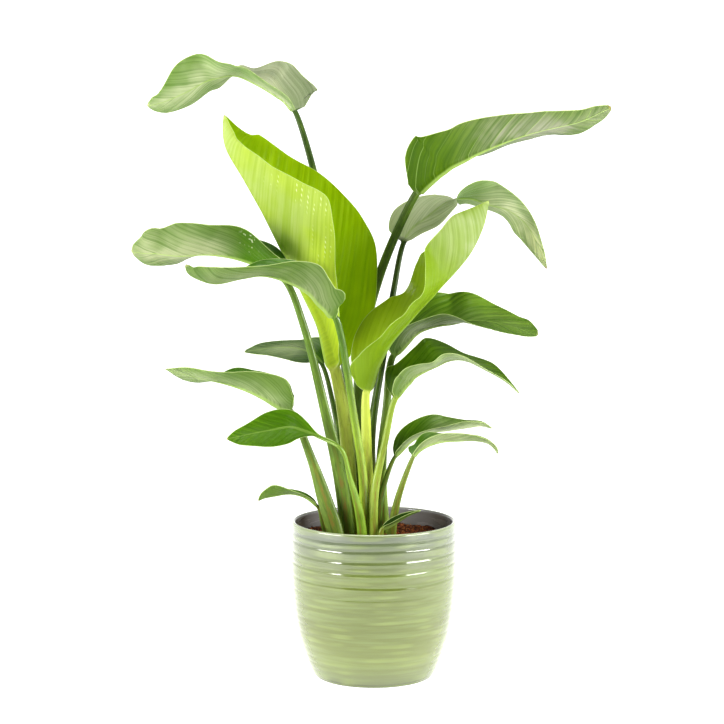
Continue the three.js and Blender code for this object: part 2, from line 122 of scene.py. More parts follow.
# The midrib: its share of the stalk's width and depth at the base, and its size towards the tip.
RIB_WIDTH_SHARE = 0.75
RIB_DEPTH_SHARE = 0.92
TIP_RIB_WIDTH = 1.0
TIP_RIB_DEPTH = 1.2
# Its groove on the upper side and its swelling below, in shares of its width.
RIB_GROOVE = 0.25
RIB_GROOVE_WIDTH = 0.7
RIB_SWELL_WIDTH = 1.25
LEAST_HALF_WIDTH = 0.7
LOBE_REACH = 0.1
BLEND_INTERVALS = 0.5
# Columns of the mesh by the midrib, in widths of the rib, and by the margin.
RIB_COLUMNS = [0.3, 0.6, 0.85, 1.1, 1.6]
EDGE_COLUMNS = [2.4, 0.9, 0.3]
FEWEST_COLUMNS = 12
COLUMN_STEP = 2.2
VEIN_CURVE = 0.0035
VEIN_WANDER = 6
VEIN_WANDER_LENGTH = 31
FINE_VEIN_SPACING = 1.7
PLEAT_SPACING = 14
# Pleats and waves grow from the base over an eighth of the blade, and fade over its last seventh.
WAVES_GROW = 8
WAVES_FADE = 7
# A pleat swells and fades along and across the blade, and starts this far from rib and margin.
SWELL_LENGTH = 23
SWELL_WIDTH = 30
PLEAT_ROOT = 9
PLEAT_END = 5
RIPPLE_LENGTH = 26
BEAD_STEP = 3.6
# Keeps the waves of one leaf apart from those of the next.
PHASE_STEP = 3.7
MARK_LAYERS = ("leaf_place", "leaf_shape", "stalk_place")
FRONT = Vector((0, -1, 0))

# Studio. Softboxes: name, place, aim, width and height in metres, power in watts.
SOFTBOXES = [
    ("softbox_left", (-1.45, -0.75, 0.6), (0, 0, 0.25), (1.1, 0.6), 33),
    ("softbox_right", (1.45, -0.75, 0.6), (0, 0, 0.25), (1.1, 0.6), 33),
    ("softbox_top", (0, -0.1, 2.3), (0, 0, 0.3), (1.8, 1.4), 26),
]
FLOOR_SIZE = 1.3
FLOOR_LIGHT = 0.5
# Strength of the surround on the white side, on the room's side, overhead, and as seen.
WHITE_SIDE_LIGHT = 1.3
ROOM_SIDE_LIGHT = 0.1
CEILING_LIGHT = 0.3
SEEN_LIGHT = 1.05
# Camera, in millimetres and radians. Its focal length is in pixels of the photograph.
CAMERA_PLACE = (-13.5, -2118, 566.5)
CAMERA_TILT = 0.09744
CAMERA_FOCAL_PIXELS = 1876
PHOTO_WIDTH = 724
SENSOR_WIDTH = 36

# foot: x, y, half width and half thickness of the stem in the soil.
# stalk: x, y, z and half width along the stem, from the soil to the blade.
# blade: x, y, z of the midrib, fold angle of each half in degrees, half width of each half.
# A fold angle turns about the midrib from the side on its left, seen from the front, towards
# the front, and the upper side of the leaf lies between the two halves.
# lobes: how far each half reaches back past the top of the stalk.
LEAVES = {
    "leaf_top_left": {
        "foot": [-20, 22, 6, 4], "lobes": [2, 6],
        "stalk": [[-27, 26, 278, 5], [-42, 50, 427, 4.5], [-69, 62, 574, 4], [-91, 65, 644, 3]],
        "blade": [
            [-91, 65, 644, 105, 205, 8, 8], [-95, 65, 648, 103, 200, 14, 36],
            [-98, 65, 652, 102, 200, 20, 39], [-103, 65, 657, 100, 202, 27, 38],
            [-114, 64, 664, 100, 203, 33, 43], [-124, 63, 670, 99, 204, 37, 40],
            [-139, 61, 678, 100, 246, 40, 42], [-154, 58, 684, 103, 252, 40.5, 42],
            [-166, 56, 685, 101, 278, 42, 41], [-178, 53, 682, 111, 284, 40, 40],
            [-191, 51, 678, 143, 285, 38.5, 37], [-215, 47, 665, 143, 294, 37, 33],
            [-241, 44, 654, 140, 300, 15, 24], [-252, 43, 651, 140, 300, 10, 14],
            [-259, 42, 650, 140, 290, 2, 4],
        ],
    },
    "leaf_centre_large": {
        "foot": [-24, 6, 9, 6], "lobes": [0, 0],
        "stalk": [[-27, 6, 223, 8.5], [-33, 5, 293, 8], [-43, 4, 348, 7]],
        "blade": [
            [-43, 4, 348, 140, 215, 8, 10], [-49, 5, 370, 135, 200, 14, 34],
            [-58, 6, 401, 130, 190, 34, 66], [-79, 7, 442, 135, 188, 60, 94],
            [-98, 8, 478, 137, 187, 84, 97], [-116, 8, 511, 139, 188, 97, 89],
            [-131, 7, 538, 140, 189, 73, 77], [-146, 6, 565, 140, 190, 46, 57],
            [-166, 4, 601, 145, 190, 22, 40], [-169, 4, 620, 148, 190, 13, 22],
            [-168, 5, 638, 150, 190, 1, 1],
        ],
    },
    "leaf_top_right": {
        "foot": [-9, 12, 7, 4.5], "lobes": [4, 4],
        "stalk": [[-18, 18, 256, 6], [-14, 30, 371, 6], [8, 26, 461, 5.5], [48, 14, 550, 4.5]],
        "blade": [
            [48, 14, 550, -45, 20, 6, 8], [54, 12, 556, -48, 18, 22, 22],
            [62, 10, 563, -50, 15, 34, 40], [73, 8, 572, -55, 18, 40, 51],
            [79, 7, 576, -57, 20, 42, 53], [86, 5, 581, -60, 22, 44, 45],
            [101, 3, 588, -78, 30, 46, 43.5], [117, 2, 596, -95, 38, 46, 47],
            [156, -3, 611, -96, 48, 45, 43], [191, -8, 621, -100, 53, 36, 35],
            [229, -14, 630, -120, 48, 24, 20], [249, -17, 639, -120, 48, 20, 14],
            [263, -20, 646, -120, 48, 5, 4],
        ],
    },
    "leaf_arching_right": {
        "foot": [3, 9, 6, 4], "lobes": [6, 2],
        "stalk": [[-3, 14, 268, 5], [12, 30, 370, 4], [23, 38, 439, 3.5], [34, 42, 492, 3]],
        "blade": [
            [34, 42, 492, -35, 115, 16, 8], [44, 43, 509, -38, 112, 36, 26],
            [63, 44, 524, -48, 112, 39, 38], [82, 45, 539, -70, 105, 40, 40],
            [90, 46, 543, -82, 98, 36, 38], [96, 46, 545, -100, 84, 34, 37],
            [103, 46, 545, -104, 70, 38, 42], [113, 47, 544, -100, 60, 42, 43.5],
            [133, 47, 537, -98, 48, 42, 39], [154, 45, 531, -105, 55, 38, 33],
            [175, 42, 515, -118, 58, 32, 18.5], [189, 40, 491, -120, 66, 21.5, 11],
            [199, 38, 463, -120, 60, 1, 1],
        ],
    },
    "leaf_young_lime": {
        "foot": [-5, -2, 7, 5], "lobes": [0, 0],
        "stalk": [[-7, -6, 225, 6.5], [-9, -10, 282, 6], [-9, -14, 326, 4.5]],
        "blade": [
            [-9, -14, 326, -30, 40, 6, 8], [-5, -15, 338, -24, 38, 18, 24],
            [-1, -16, 350, -20, 36, 28, 34], [3, -16, 360, -20, 38, 34, 28],
            [16, -18, 383, -35, 58, 45, 28], [39, -21, 409, -42, 73, 43, 36],
            [50, -22, 421, -50, 74, 36, 40], [63, -23, 434, -54, 73, 48, 44],
            [75, -23, 447, -46, 55, 53, 51], [87, -22, 459, -40, 28, 52, 50],
            [108, -19, 485, -50, 20, 42, 46], [122, -16, 515, -60, 20, 28, 37],
            [128, -13, 542, -60, 20, 1, 1],
        ],
    },
    "leaf_upper_left": {
        "foot": [-30, -8, 9, 5], "lobes": [0, 2],
        "stalk": [[-37, -8, 225, 8.5], [-55, -10, 305, 6], [-79, -13, 402, 4.5], [-99, -14, 452, 4]],
        "blade": [
            [-99, -14, 452, 150, 210, 6, 8], [-119, -13, 467, 125, 222, 34, 32],
            [-151, -11, 478, 146, 238, 42, 42], [-184, -8, 482, 143, 258, 43, 44],
            [-218, -8, 480, 155, 278, 42, 42], [-239, -5, 482, 153, 292, 33, 34],
            [-247, -4, 483, 150, 300, 33, 29], [-258, -2, 483, 150, 302, 26, 28],
            [-266, -1, 484, 150, 302, 17, 21], [-274, 0, 485, 150, 300, 6, 7],
        ],
    },
    "leaf_front_twisted": {
        "foot": [-10, -13.5, 6, 4], "lobes": [1, 1],
        "stalk": [[-12, -17, 229, 5.5], [-22, -37, 300, 4.5], [-42, -62, 414, 4]],
        "blade": [
            [-42, -62, 414, 150, 205, 3, 3], [-48, -63, 420, 149, 210, 14, 14],
            [-52, -64, 425, 148, 214, 31, 24], [-60, -65, 432, 148, 218, 28, 28],
            [-68, -66, 441, 149, 222, 30, 30], [-78, -68, 448, 146, 226, 38, 34],
            [-98, -71, 457, 129, 235, 38, 36], [-122, -75, 462, 109, 246, 37, 36],
            [-146, -78, 458, 113, 255, 36, 34], [-173, -81, 453, 127, 262, 33, 30],
            [-191, -83, 458, 135, 262, 24, 20], [-202, -84, 465, 137, 258, 16, 12],
            [-205, -84, 474, 135, 250, 5, 3],
        ],
    },
    "leaf_rear_small_left": {
        "foot": [-36, 14, 5, 3.5], "lobes": [0, 0],
        "stalk": [[-38, 26, 255, 4], [-48, 42, 311, 3], [-59, 50, 350, 2.5]],
        "blade": [
            [-59, 50, 350, 70, 215, 4, 8], [-69, 52, 363, 58, 218, 21, 26],
            [-90, 54, 371, 55, 248, 25, 22], [-119, 57, 371, 62, 250, 18, 17],
            [-137, 58, 368, 62, 238, 9, 11], [-151, 60, 366, 62, 240, 2, 2],
        ],
    },
    "leaf_middle_left": {
        "foot": [-43, -20, 10, 5], "lobes": [2, 1],
        "stalk": [[-55, -19, 204, 9], [-70, -18, 250, 5.5], [-94, -14, 305, 3.5]],
        "blade": [
            [-94, -14, 305, 150, 210, 9, 11], [-102, -14, 309, 150, 212, 25, 25],
            [-112, -14, 314, 152, 215, 35, 34], [-122, -15, 320, 152, 220, 36, 34],
            [-141, -17, 329, 142, 230, 32, 33], [-163, -18, 336, 126, 240, 30, 32],
            [-190, -20, 342, 120, 284, 26, 25], [-212, -21, 348, 122, 298, 18, 20],
            [-225, -21, 351, 124, 300, 9, 10], [-235, -22, 354, 120, 285, 1, 1],
        ],
    },
    "leaf_lower_left": {
        "foot": [-13, -24, 5.5, 4], "lobes": [0, 0],
        "stalk": [[-17, -26, 194, 5], [-27, -30, 231, 3], [-37, -34, 265, 2.2]],
        "blade": [
            [-37, -34, 265, 95, 225, 2.5, 2.5], [-63, -38, 280, 70, 225, 3, 3],
            [-77, -40, 286, 50, 218, 10, 12], [-94, -43, 291, 45, 217, 22, 22.5],
            [-115, -47, 288, 45, 218, 24, 24], [-138, -50, 284, 45, 222, 17.5, 15],
            [-153, -52, 281, 45, 222, 11, 9], [-164, -54, 279, 45, 222, 1, 1],
        ],
    },
    "leaf_low_left_small": {
        "foot": [-54, -10, 4.5, 3], "lobes": [0, 0],
        "stalk": [[-58, -12, 180, 3.5], [-63, -14, 195, 2]],
        "blade": [
            [-63, -14, 195, 120, 230, 2, 2], [-76, -17, 207, 110, 240, 6, 6],
            [-93, -20, 212, 115, 245, 12, 9], [-112, -24, 210, 145, 240, 17, 16],
            [-124, -26, 208, 140, 240, 11, 11], [-131, -27, 205, 140, 240, 1, 1],
        ],
    },
    "leaf_middle_right": {
        "foot": [11, 0, 7, 5], "lobes": [4, 4],
        "stalk": [[8, 1, 236, 6.5], [14, 4, 304, 5], [21, 10, 364, 4]],
        "blade": [
            [21, 10, 364, -40, 40, 6, 8], [33, 10, 378, -25, 40, 26, 18],
            [50, 10, 394, -28, 63, 38, 30], [71, 9, 401, -30, 67, 41, 34],
            [88, 7, 403, -40, 70, 42, 38], [107, 6, 406, -40, 88, 41, 40],
            [132, 4, 405, -59, 98, 37, 38], [156, 1, 400, -66, 107, 30, 26],
            [172, -1, 395, -66, 109, 28.5, 19], [186, -2, 390, -66, 109, 10, 3],
        ],
    },
    "leaf_lower_right": {
        "foot": [-1, -20, 5.5, 4], "lobes": [4, 2],
        "stalk": [[1, -20, 216, 5], [13, -14, 274, 4], [23, -10, 317, 3.5]],
        "blade": [
            [23, -10, 317, -30, 60, 6, 6], [34, -11, 333, -15, 55, 28, 25],
            [40, -11, 339, -20, 58, 27, 29], [44, -12, 344, -25, 60, 25, 31],
            [56, -13, 351, -30, 68, 31, 34], [70, -14, 357, -30, 75, 37, 36],
            [83, -15, 363, -63, 72, 38, 38], [99, -16, 364, -79, 79, 30, 37],
            [129, -18, 351, -69, 84, 26, 28], [149, -19, 339, -69, 84, 11, 14],
            [164, -20, 326, -69, 84, 1, 1],
        ],
    },
    "leaf_low_right_upper": {
        "foot": [5, -12, 4.5, 3], "lobes": [0, 0],
        "stalk": [[8, -14, 206, 3.5], [23, -4, 250, 2.3]],
        "blade": [
            [23, -4, 250, -35, 50, 3, 3], [32, -4, 260, -25, 60, 14, 10],
            [44, -4, 271, -25, 68, 19, 16], [66, -4, 280, -25, 72, 21, 21],
            [84, -4, 282, -48, 68, 21, 22], [105, -4, 285, -62, 58, 16, 17],
            [123, -3, 287, -62, 58, 9, 9], [135, -2, 284, -62, 58, 1, 1],
        ],
    },
    "leaf_low_right_lower": {
        "foot": [20, -14, 5.5, 4], "lobes": [0, 0],
        "stalk": [[27, -20, 206, 4], [44, -33, 256, 2.3]],
        "blade": [
            [44, -33, 256, -30, 50, 4, 2.5], [46, -33, 259, -15, 58, 11, 5],
            [50, -34, 263, -12, 60, 9, 8], [59, -36, 269, -25, 55, 15, 13],
            [75, -37, 274, -65, 52, 17, 17], [97, -38, 275, -70, 54, 17, 17],
            [115, -39, 275, -70, 58, 13, 13], [128, -40, 272, -70, 60, 8, 8],
            [135, -40, 266, -70, 60, 7, 6], [139, -40, 260, -70, 60, 1, 1],
        ],
    },
    "leaf_newest_sprout": {
        "foot": [8, -26, 3.5, 2.5], "lobes": [0, 0],
        "stalk": [[9, -26, 172, 2.5]],
        "blade": [
            [9, -26, 172, -45, 45, 2.5, 2.5], [19, -26, 177, -30, 60, 7, 6],
            [32, -26, 184, -35, 60, 7, 6], [43, -27, 190, -45, 60, 4, 4],
            [53, -27, 194, -45, 60, 1, 1],
        ],
    },
}

# How a leaf looks.
# upper, under, stem and sheath are the colours of its two sides, its stem and the sheath below.
# bloom and tip are the colours of the pale wax bloom with its painted sheen, and of the leaf's end.
# under_bloom_and_sheen and upper_bloom_and_sheen: how strong the bloom and painted sheen are, and from which
# share of the length.
# pleat and ripple are the heights of the pleats and of the wavy margins, in millimetres.
# slant is how far a vein runs along the midrib for each millimetre away from it.
# crease and saw are how strongly the folds between pleats show as pale lines and as dark steps of painted
# shade.
# contrast is how far the greens of the blade differ, and glow how far light shines through it.
# shine is the gloss of the upper side.
# specks and dotted are damage spots and rows of painted glints: how strong, and the stretch they cover.
USUAL_LOOK = dict(
    bloom_and_sheen="#cdd6aa", tip="#b4b878", slant=1.8, crease=0.1, saw=0.6, contrast=1, glow=0.3, shine=0.0,
    specks=None, glint_rows=None,
)
# What is different on each leaf.
LOOKS = {
    "leaf_top_left": dict(
        # Its pale grey upper side is partly painted sheen.
        upper="#a6b294", under="#648c26", stem="#455d2a", sheath="#627b33", bloom_and_sheen="#cfd4b2",
        under_bloom_and_sheen=(0.62, -0.2), upper_bloom_and_sheen=(0.95, -0.02), pleat=0.29, ripple=0.3, slant=2.2,
        crease=0.05, contrast=0.6,
    ),
    "leaf_centre_large": dict(
        upper="#aecc00", under="#bcd038", stem="#abb64c", sheath="#a5b44a", tip="#dfe8a0",
        under_bloom_and_sheen=(0.4, 0.25), upper_bloom_and_sheen=(0.0, 0.0), pleat=0.25, ripple=1.6, slant=0.9, crease=0.08,
        saw=0.1, contrast=0.4, glow=0.45, glint_rows=(0.9, 0.35, 0.75),
    ),
    "leaf_top_right": dict(
        upper="#4e7800", under="#4e6e00", stem="#556d2c", sheath="#688139", bloom_and_sheen="#8c9076",
        tip="#8c7a40", under_bloom_and_sheen=(0.85, 0.18), upper_bloom_and_sheen=(0.25, 0.2), pleat=0.45, ripple=0.9,
        slant=0.9, crease=0.4, saw=1.0, glow=0.12,
    ),
    "leaf_arching_right": dict(
        # Its pale grey upper side is partly painted sheen.
        upper="#bcc8a0", under="#84a060", stem="#354a1c", sheath="#59752d", bloom_and_sheen="#e2e4c8",
        tip="#96543a", under_bloom_and_sheen=(1.0, 0.4), upper_bloom_and_sheen=(0.6, -0.3), pleat=0.36, ripple=0.7, slant=1.9,
        crease=0.15, saw=0.8, contrast=0.6, glow=0.4,
    ),
    "leaf_young_lime": dict(
        upper="#9ab405", under="#92ae2c", stem="#bbc654", sheath="#b2c24a", tip="#dfe8a0",
        under_bloom_and_sheen=(0.75, 0.56), upper_bloom_and_sheen=(0.05, 0.0), pleat=0.22, ripple=2.0, slant=1.6, crease=0.06,
        saw=0.08, contrast=0.3, glow=0.45, shine=0.6,
    ),
    "leaf_upper_left": dict(
        upper="#568a0e", under="#527c00", stem="#5c7630", sheath="#728d39", bloom_and_sheen="#a9b186",
        under_bloom_and_sheen=(1.0, 0.26), upper_bloom_and_sheen=(0.1, 0.5), pleat=0.33, ripple=0.9, slant=2.2, crease=0.12,
        contrast=0.8, shine=0.2, specks=(0.8, 0.2, 0.36),
    ),
    "leaf_front_twisted": dict(
        upper="#4f8010", under="#547a12", stem="#496920", sheath="#9db63b", bloom_and_sheen="#959f76",
        under_bloom_and_sheen=(0.65, -0.1), upper_bloom_and_sheen=(0.1, 0.0), pleat=0.33, ripple=0.7, crease=0.12, saw=0.55,
        shine=0.5,
    ),
    "leaf_rear_small_left": dict(
        upper="#3d6615", under="#54782c", stem="#3c531e", sheath="#55712b", under_bloom_and_sheen=(0.35, 0.0),
        upper_bloom_and_sheen=(0.45, 0.1), pleat=0.33, ripple=0.4, slant=2.4, saw=0.3, glow=0.2, shine=0.2,
    ),
    "leaf_middle_left": dict(
        upper="#4f8010", under="#5c7e22", stem="#597130", sheath="#6a8139", under_bloom_and_sheen=(0.35, -0.1),
        upper_bloom_and_sheen=(0.1, 0.0), pleat=0.29, ripple=0.6, slant=2.2, crease=0.25, contrast=0.7,
    ),
    "leaf_lower_left": dict(
        upper="#5b8800", under="#5f9410", stem="#47651c", sheath="#86a839", tip="#c8b458",
        under_bloom_and_sheen=(0.1, 0.1), upper_bloom_and_sheen=(0.03, 0.2), pleat=0.33, ripple=0.6, slant=1.5, saw=0.3,
        shine=0.35,
    ),
    "leaf_low_left_small": dict(
        upper="#5c8c1c", under="#5f7f27", stem="#4b611e", sheath="#5b712b", tip="#b07a40",
        under_bloom_and_sheen=(0.1, 0.0), upper_bloom_and_sheen=(0.2, 0.2), pleat=0.23, ripple=0.4, saw=0.3, glow=0.25,
    ),
    "leaf_middle_right": dict(
        upper="#6a9215", under="#506c2e", stem="#5e7830", sheath="#7b953b", under_bloom_and_sheen=(0.5, 0.0),
        upper_bloom_and_sheen=(0.12, 0.1), pleat=0.39, ripple=0.8, slant=1.6, crease=0.2, glow=0.25, shine=0.25,
    ),
    "leaf_lower_right": dict(
        upper="#587e09", under="#75914c", stem="#899f3c", sheath="#99ae47", under_bloom_and_sheen=(0.55, 0.0),
        upper_bloom_and_sheen=(0.05, 0.2), pleat=0.36, ripple=0.6, slant=1.6, saw=0.4, glow=0.25, shine=0.2,
    ),
    "leaf_low_right_upper": dict(
        upper="#577e15", under="#75914c", stem="#476520", sheath="#627d2f", under_bloom_and_sheen=(0.6, 0.0),
        upper_bloom_and_sheen=(0.35, 0.3), pleat=0.29, ripple=0.4, saw=0.4, glow=0.25, shine=0.1,
    ),
    "leaf_low_right_lower": dict(
        upper="#4e7c14", under="#788d57", stem="#537124", sheath="#778739", under_bloom_and_sheen=(0.45, 0.0),
        upper_bloom_and_sheen=(0.35, 0.1), pleat=0.29, ripple=0.4, saw=0.4, glow=0.25,
    ),
    "leaf_newest_sprout": dict(
        upper="#2f4d05", under="#5f8424", stem="#647c28", sheath="#86983b", under_bloom_and_sheen=(0.2, 0.0),
        upper_bloom_and_sheen=(0.0, 0.0), pleat=0.2, ripple=0.2, saw=0.2, glow=0.2,
    ),
}


# ---------------------------------------------------------------- numbers and colours

def linear(colour):
    """A shader colour from #rrggbb."""
    parts = [int(colour[i:i + 2], 16) / 255 for i in (1, 3, 5)]
    return (*[p / 12.92 if p <= 0.04045 else ((p + 0.055) / 1.055) ** 2.4 for p in parts], 1)


def tinted(colour, tint, share=1):
    """A shader colour with its red, green and blue multiplied, or a share of the way to that."""
    return (*[min(1, part * mix(1, factor, share)) for part, factor in zip(colour, tint)], 1)


def mix(a, b, share):
    return a + (b - a) * share


def ease(x):
    x = min(max(x, 0), 1)
    return x * x * (3 - 2 * x)


def hermite(p1, p2, s1, s2, t):
    """A place between two points, given the slopes there and the share of the way."""
    return p1 + s1 * t + (3 * (p2 - p1) - 2 * s1 - s2) * t ** 2 + (2 * (p1 - p2) + s1 + s2) * t ** 3


def smooth_numbers(knots, at):
    """Smooth numbers through knots, with the ends run on straight."""
    i = min(int(at), len(knots) - 2)
    found = []
    for n, p1 in enumerate(knots[i]):
        p2 = knots[i + 1][n]
        p0 = knots[i - 1][n] if i > 0 else 2 * p1 - p2
        p3 = knots[i + 2][n] if i + 2 < len(knots) else 2 * p2 - p1
        found.append(hermite(p1, p2, (p2 - p0) / 2, (p3 - p1) / 2, at - i))
    return found


def spine_point(knots, at):
    """A point on the smooth centripetal curve through knots."""
    at = min(max(at, 0), len(knots) - 1)
    i = min(int(at), len(knots) - 2)
    p1, p2 = knots[i], knots[i + 1]
    p0 = knots[i - 1] if i > 0 else 2 * p1 - p2
    p3 = knots[i + 2] if i + 2 < len(knots) else 2 * p2 - p1
    d0, d1, d2 = (math.sqrt((b - a).length) for a, b in ((p0, p1), (p1, p2), (p2, p3)))
    s1 = ((p1 - p0) / d0 - (p2 - p0) / (d0 + d1) + (p2 - p1) / d1) * d1
    s2 = ((p2 - p1) / d1 - (p3 - p1) / (d1 + d2) + (p3 - p2) / d2) * d1
    return hermite(p1, p2, s1, s2, at - i)


def wave(*place):
    """Smooth noise between -1 and 1."""
    return noise.noise(Vector(place))


# ---------------------------------------------------------------- mesh tools

def finish_piece(name, bm, materials, body="root"):
    """Turns a bmesh into a smooth-shaded object that rides on the pot and plant."""
    bmesh.ops.recalc_face_normals(bm, faces=bm.faces[:])
    for face in bm.faces:
        face.smooth = True
    mesh = bpy.data.meshes.new(name)
    bm.to_mesh(mesh)
    bm.free()
    for material in materials:
        mesh.materials.append(material)
    piece = bpy.data.objects.new(name, mesh)
    bpy.context.scene.collection.objects.link(piece)
    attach(piece, body)
    return piece


def rolled_grid(bm, rows, columns):
    """A grid rolled into a tube, as rows of vertices: the last column is welded to the first."""
    made = bmesh.ops.create_grid(bm, x_segments=columns, y_segments=rows - 1, size=1)["verts"]
    grid = [[None] * (columns + 1) for _ in range(rows)]
    for vert in made:
        row = round((vert.co.y + 1) / 2 * (rows - 1))
        grid[row][round((vert.co.x + 1) / 2 * columns)] = vert
    bmesh.ops.weld_verts(bm, targetmap={line[-1]: line[0] for line in grid})
    return [line[:-1] for line in grid]


def loft(bm, rings):
    """A tube through rings of points given in millimetres, as rows of vertices."""
    grid = rolled_grid(bm, len(rings), len(rings[0]))
    for line, ring in zip(grid, rings):
        for vert, point in zip(line, ring):
            vert.co = point * MM
    return grid


def close_row(bm, row, to_point=False):
    """Closes an end of a tube with a cap, or draws it together into a point."""
    if to_point:
        middle = sum((vert.co for vert in row), Vector()) / len(row)
        bmesh.ops.pointmerge(bm, verts=row, merge_co=middle)
        return
    edges = {edge for vert in row for edge in vert.link_edges if edge.is_boundary}
    bmesh.ops.holes_fill(bm, edges=list(edges), sides=0)


def turned_shape(bm, profile, steps):
    """A profile of [radius, height, marks] in millimetres, turned about the upright axis."""
    marks = bm.verts.layers.float_vector.new("glaze_place")
    verts = []
    for radius, height, mark in profile:
        vert = bm.verts.new((radius * MM, 0, height * MM))
        vert[marks] = Vector(mark)
        verts.append(vert)
    edges = [bm.edges.new(pair) for pair in zip(verts, verts[1:])]
    bmesh.ops.spin(
        bm, geom=verts + edges, cent=(0, 0, 0), axis=(0, 0, 1),
        angle=2 * math.pi, steps=steps, use_merge=True,
    )
    bmesh.ops.remove_doubles(bm, verts=bm.verts[:], dist=1e-6)
    return marks


# ---------------------------------------------------------------- leaves

def turned(station, degrees):
    """A direction in the section plane, turned from the left towards the front."""
    angle = math.radians(degrees)
    return station["left"] * math.cos(angle) + station["front"] * math.sin(angle)


def leaf_stations(leaf):
    """Midrib points, frames and section sizes from the foot of the stem to the tip."""
    foot_x, foot_y, foot_width, foot_depth = leaf["foot"]
    stalk = [
        [foot_x, foot_y, FOOT_BOTTOM, foot_width], [foot_x, foot_y, FOOT_TOP, foot_width], *leaf["stalk"],
    ]
    joint = len(stalk) - 1
    knots = [Vector(knot[:3]) for knot in [*stalk, *leaf["blade"][1:]]]
    places = [0.0]
    for i in range(len(knots) - 1):
        gap = (knots[i + 1] - knots[i]).length
        steps = math.ceil(gap / (STALK_STEP if i < joint else BLADE_STEP))
        places += [i + s / steps for s in range(1, steps + 1)]
    points = [spine_point(knots, at) for at in places]
    lengths = [0.0]
    for before, point in zip(points, points[1:]):
        lengths.append(lengths[-1] + (point - before).length)
    joint_length = lengths[places.index(joint)]
    neck = NECK_DEPTH * stalk[joint][3]
    stations = []
    for at, point, length in zip(places, points, lengths):
        behind = spine_point(knots, at - TANGENT_REACH)
        tangent = (spine_point(knots, at + TANGENT_REACH) - behind).normalized()
        front = (FRONT - tangent * FRONT.dot(tangent)).normalized()
        on_blade = max(at - joint, 0)
        angle_a, angle_b, width_a, width_b = smooth_numbers(leaf["blade"], on_blade)[3:]
        stations.append(dict(
            point=point, tangent=tangent, front=front, left=front.cross(tangent),
            angles=(angle_a, angle_b),
            widths=[max(width, LEAST_HALF_WIDTH) for width in (width_a, width_b)],
            stalk_width=smooth_numbers(stalk, min(at, joint))[3],
            stalk_depth=mix(foot_depth, neck, min(at / joint, 1)),
            length=length - joint_length,
            along=max(length - joint_length, 0) / (lengths[-1] - joint_length),
            climb=min(length / joint_length, 1),
            blend=ease(on_blade / BLEND_INTERVALS),
        ))
    return stations


def column_distances(width, rib, columns):
    """Distances from the midrib of the columns of one half: close together at rib and margin."""
    inner = [min(rib * share, width * (k + 1) / columns) for k, share in enumerate(RIB_COLUMNS)]
    outer = [
        width - min(gap, width * (len(EDGE_COLUMNS) - k) / columns) for k, gap in enumerate(EDGE_COLUMNS)
    ] + [width]
    between = columns - len(inner) - len(outer)
    step = (outer[0] - inner[-1]) / (between + 1)
    return inner + [inner[-1] + step * k for k in range(1, between + 1)] + outer


def across_both(half_a, half_b):
    """The numbers of both halves in one row, over the midrib, with those of the first turned round."""
    return [-number for number in half_a[::-1]] + [0] + half_b


def rib_width(station):
    """Half width of the midrib's swelling under the blade."""
    slimmed = min(1, 1.3 * station["along"] ** 0.7)
    return mix(RIB_WIDTH_SHARE * station["stalk_width"], TIP_RIB_WIDTH, slimmed)


def vein_place(length, distance, slant, phase):
    """How far along the midrib the vein starts that passes a point, with uneven gaps between veins."""
    start = length - slant * distance - VEIN_CURVE * distance ** 2
    return start + VEIN_WANDER * wave(start / VEIN_WANDER_LENGTH, phase, 2)


def stalk_section(station, shares):
    """The oval stalk with a channel along its upper side, in the order of the blade's section."""
    up = sum(station["angles"]) / 2
    channel = CHANNEL_DEPTH * ease(4 * station["climb"])
    ring = []
    for facing, row in ((up, shares), (up + 180, [-share for share in reversed(shares)])):
        for share in row:
            bearing = math.radians(facing + OVAL_SPREAD * share)
            size = 1 - (channel * math.exp(-(share / CHANNEL_WIDTH) ** 2) if facing == up else 0)
            ring.append(
                station["point"]
                + station["left"] * math.cos(bearing) * station["stalk_width"] * size
                + station["front"] * math.sin(bearing) * station["stalk_depth"] * size
            )
    return ring


def blade_lift(station, distance, half, look, phase):
    """How far the pleats and the wavy margin lift the blade at a distance from the midrib."""
    width = station["widths"][half]
    vein = vein_place(station["length"], distance, look["slant"], phase)
    swell = 0.7 + 0.6 * wave(vein / SWELL_LENGTH, distance / SWELL_WIDTH, phase + 5 * half)
    pleat = look["pleat"] * swell * math.cos(2 * math.pi * vein / PLEAT_SPACING)
    ripple = look["ripple"] * wave(station["length"] / RIPPLE_LENGTH, phase, 9 * half) * 2
    fade = ease(station["along"] * WAVES_GROW) * ease((1 - station["along"]) * WAVES_FADE)
    held = ease(distance / PLEAT_ROOT) * ease((width - distance) / PLEAT_END + 0.25)
    return fade * (pleat * held + ripple * (distance / width) ** 3)


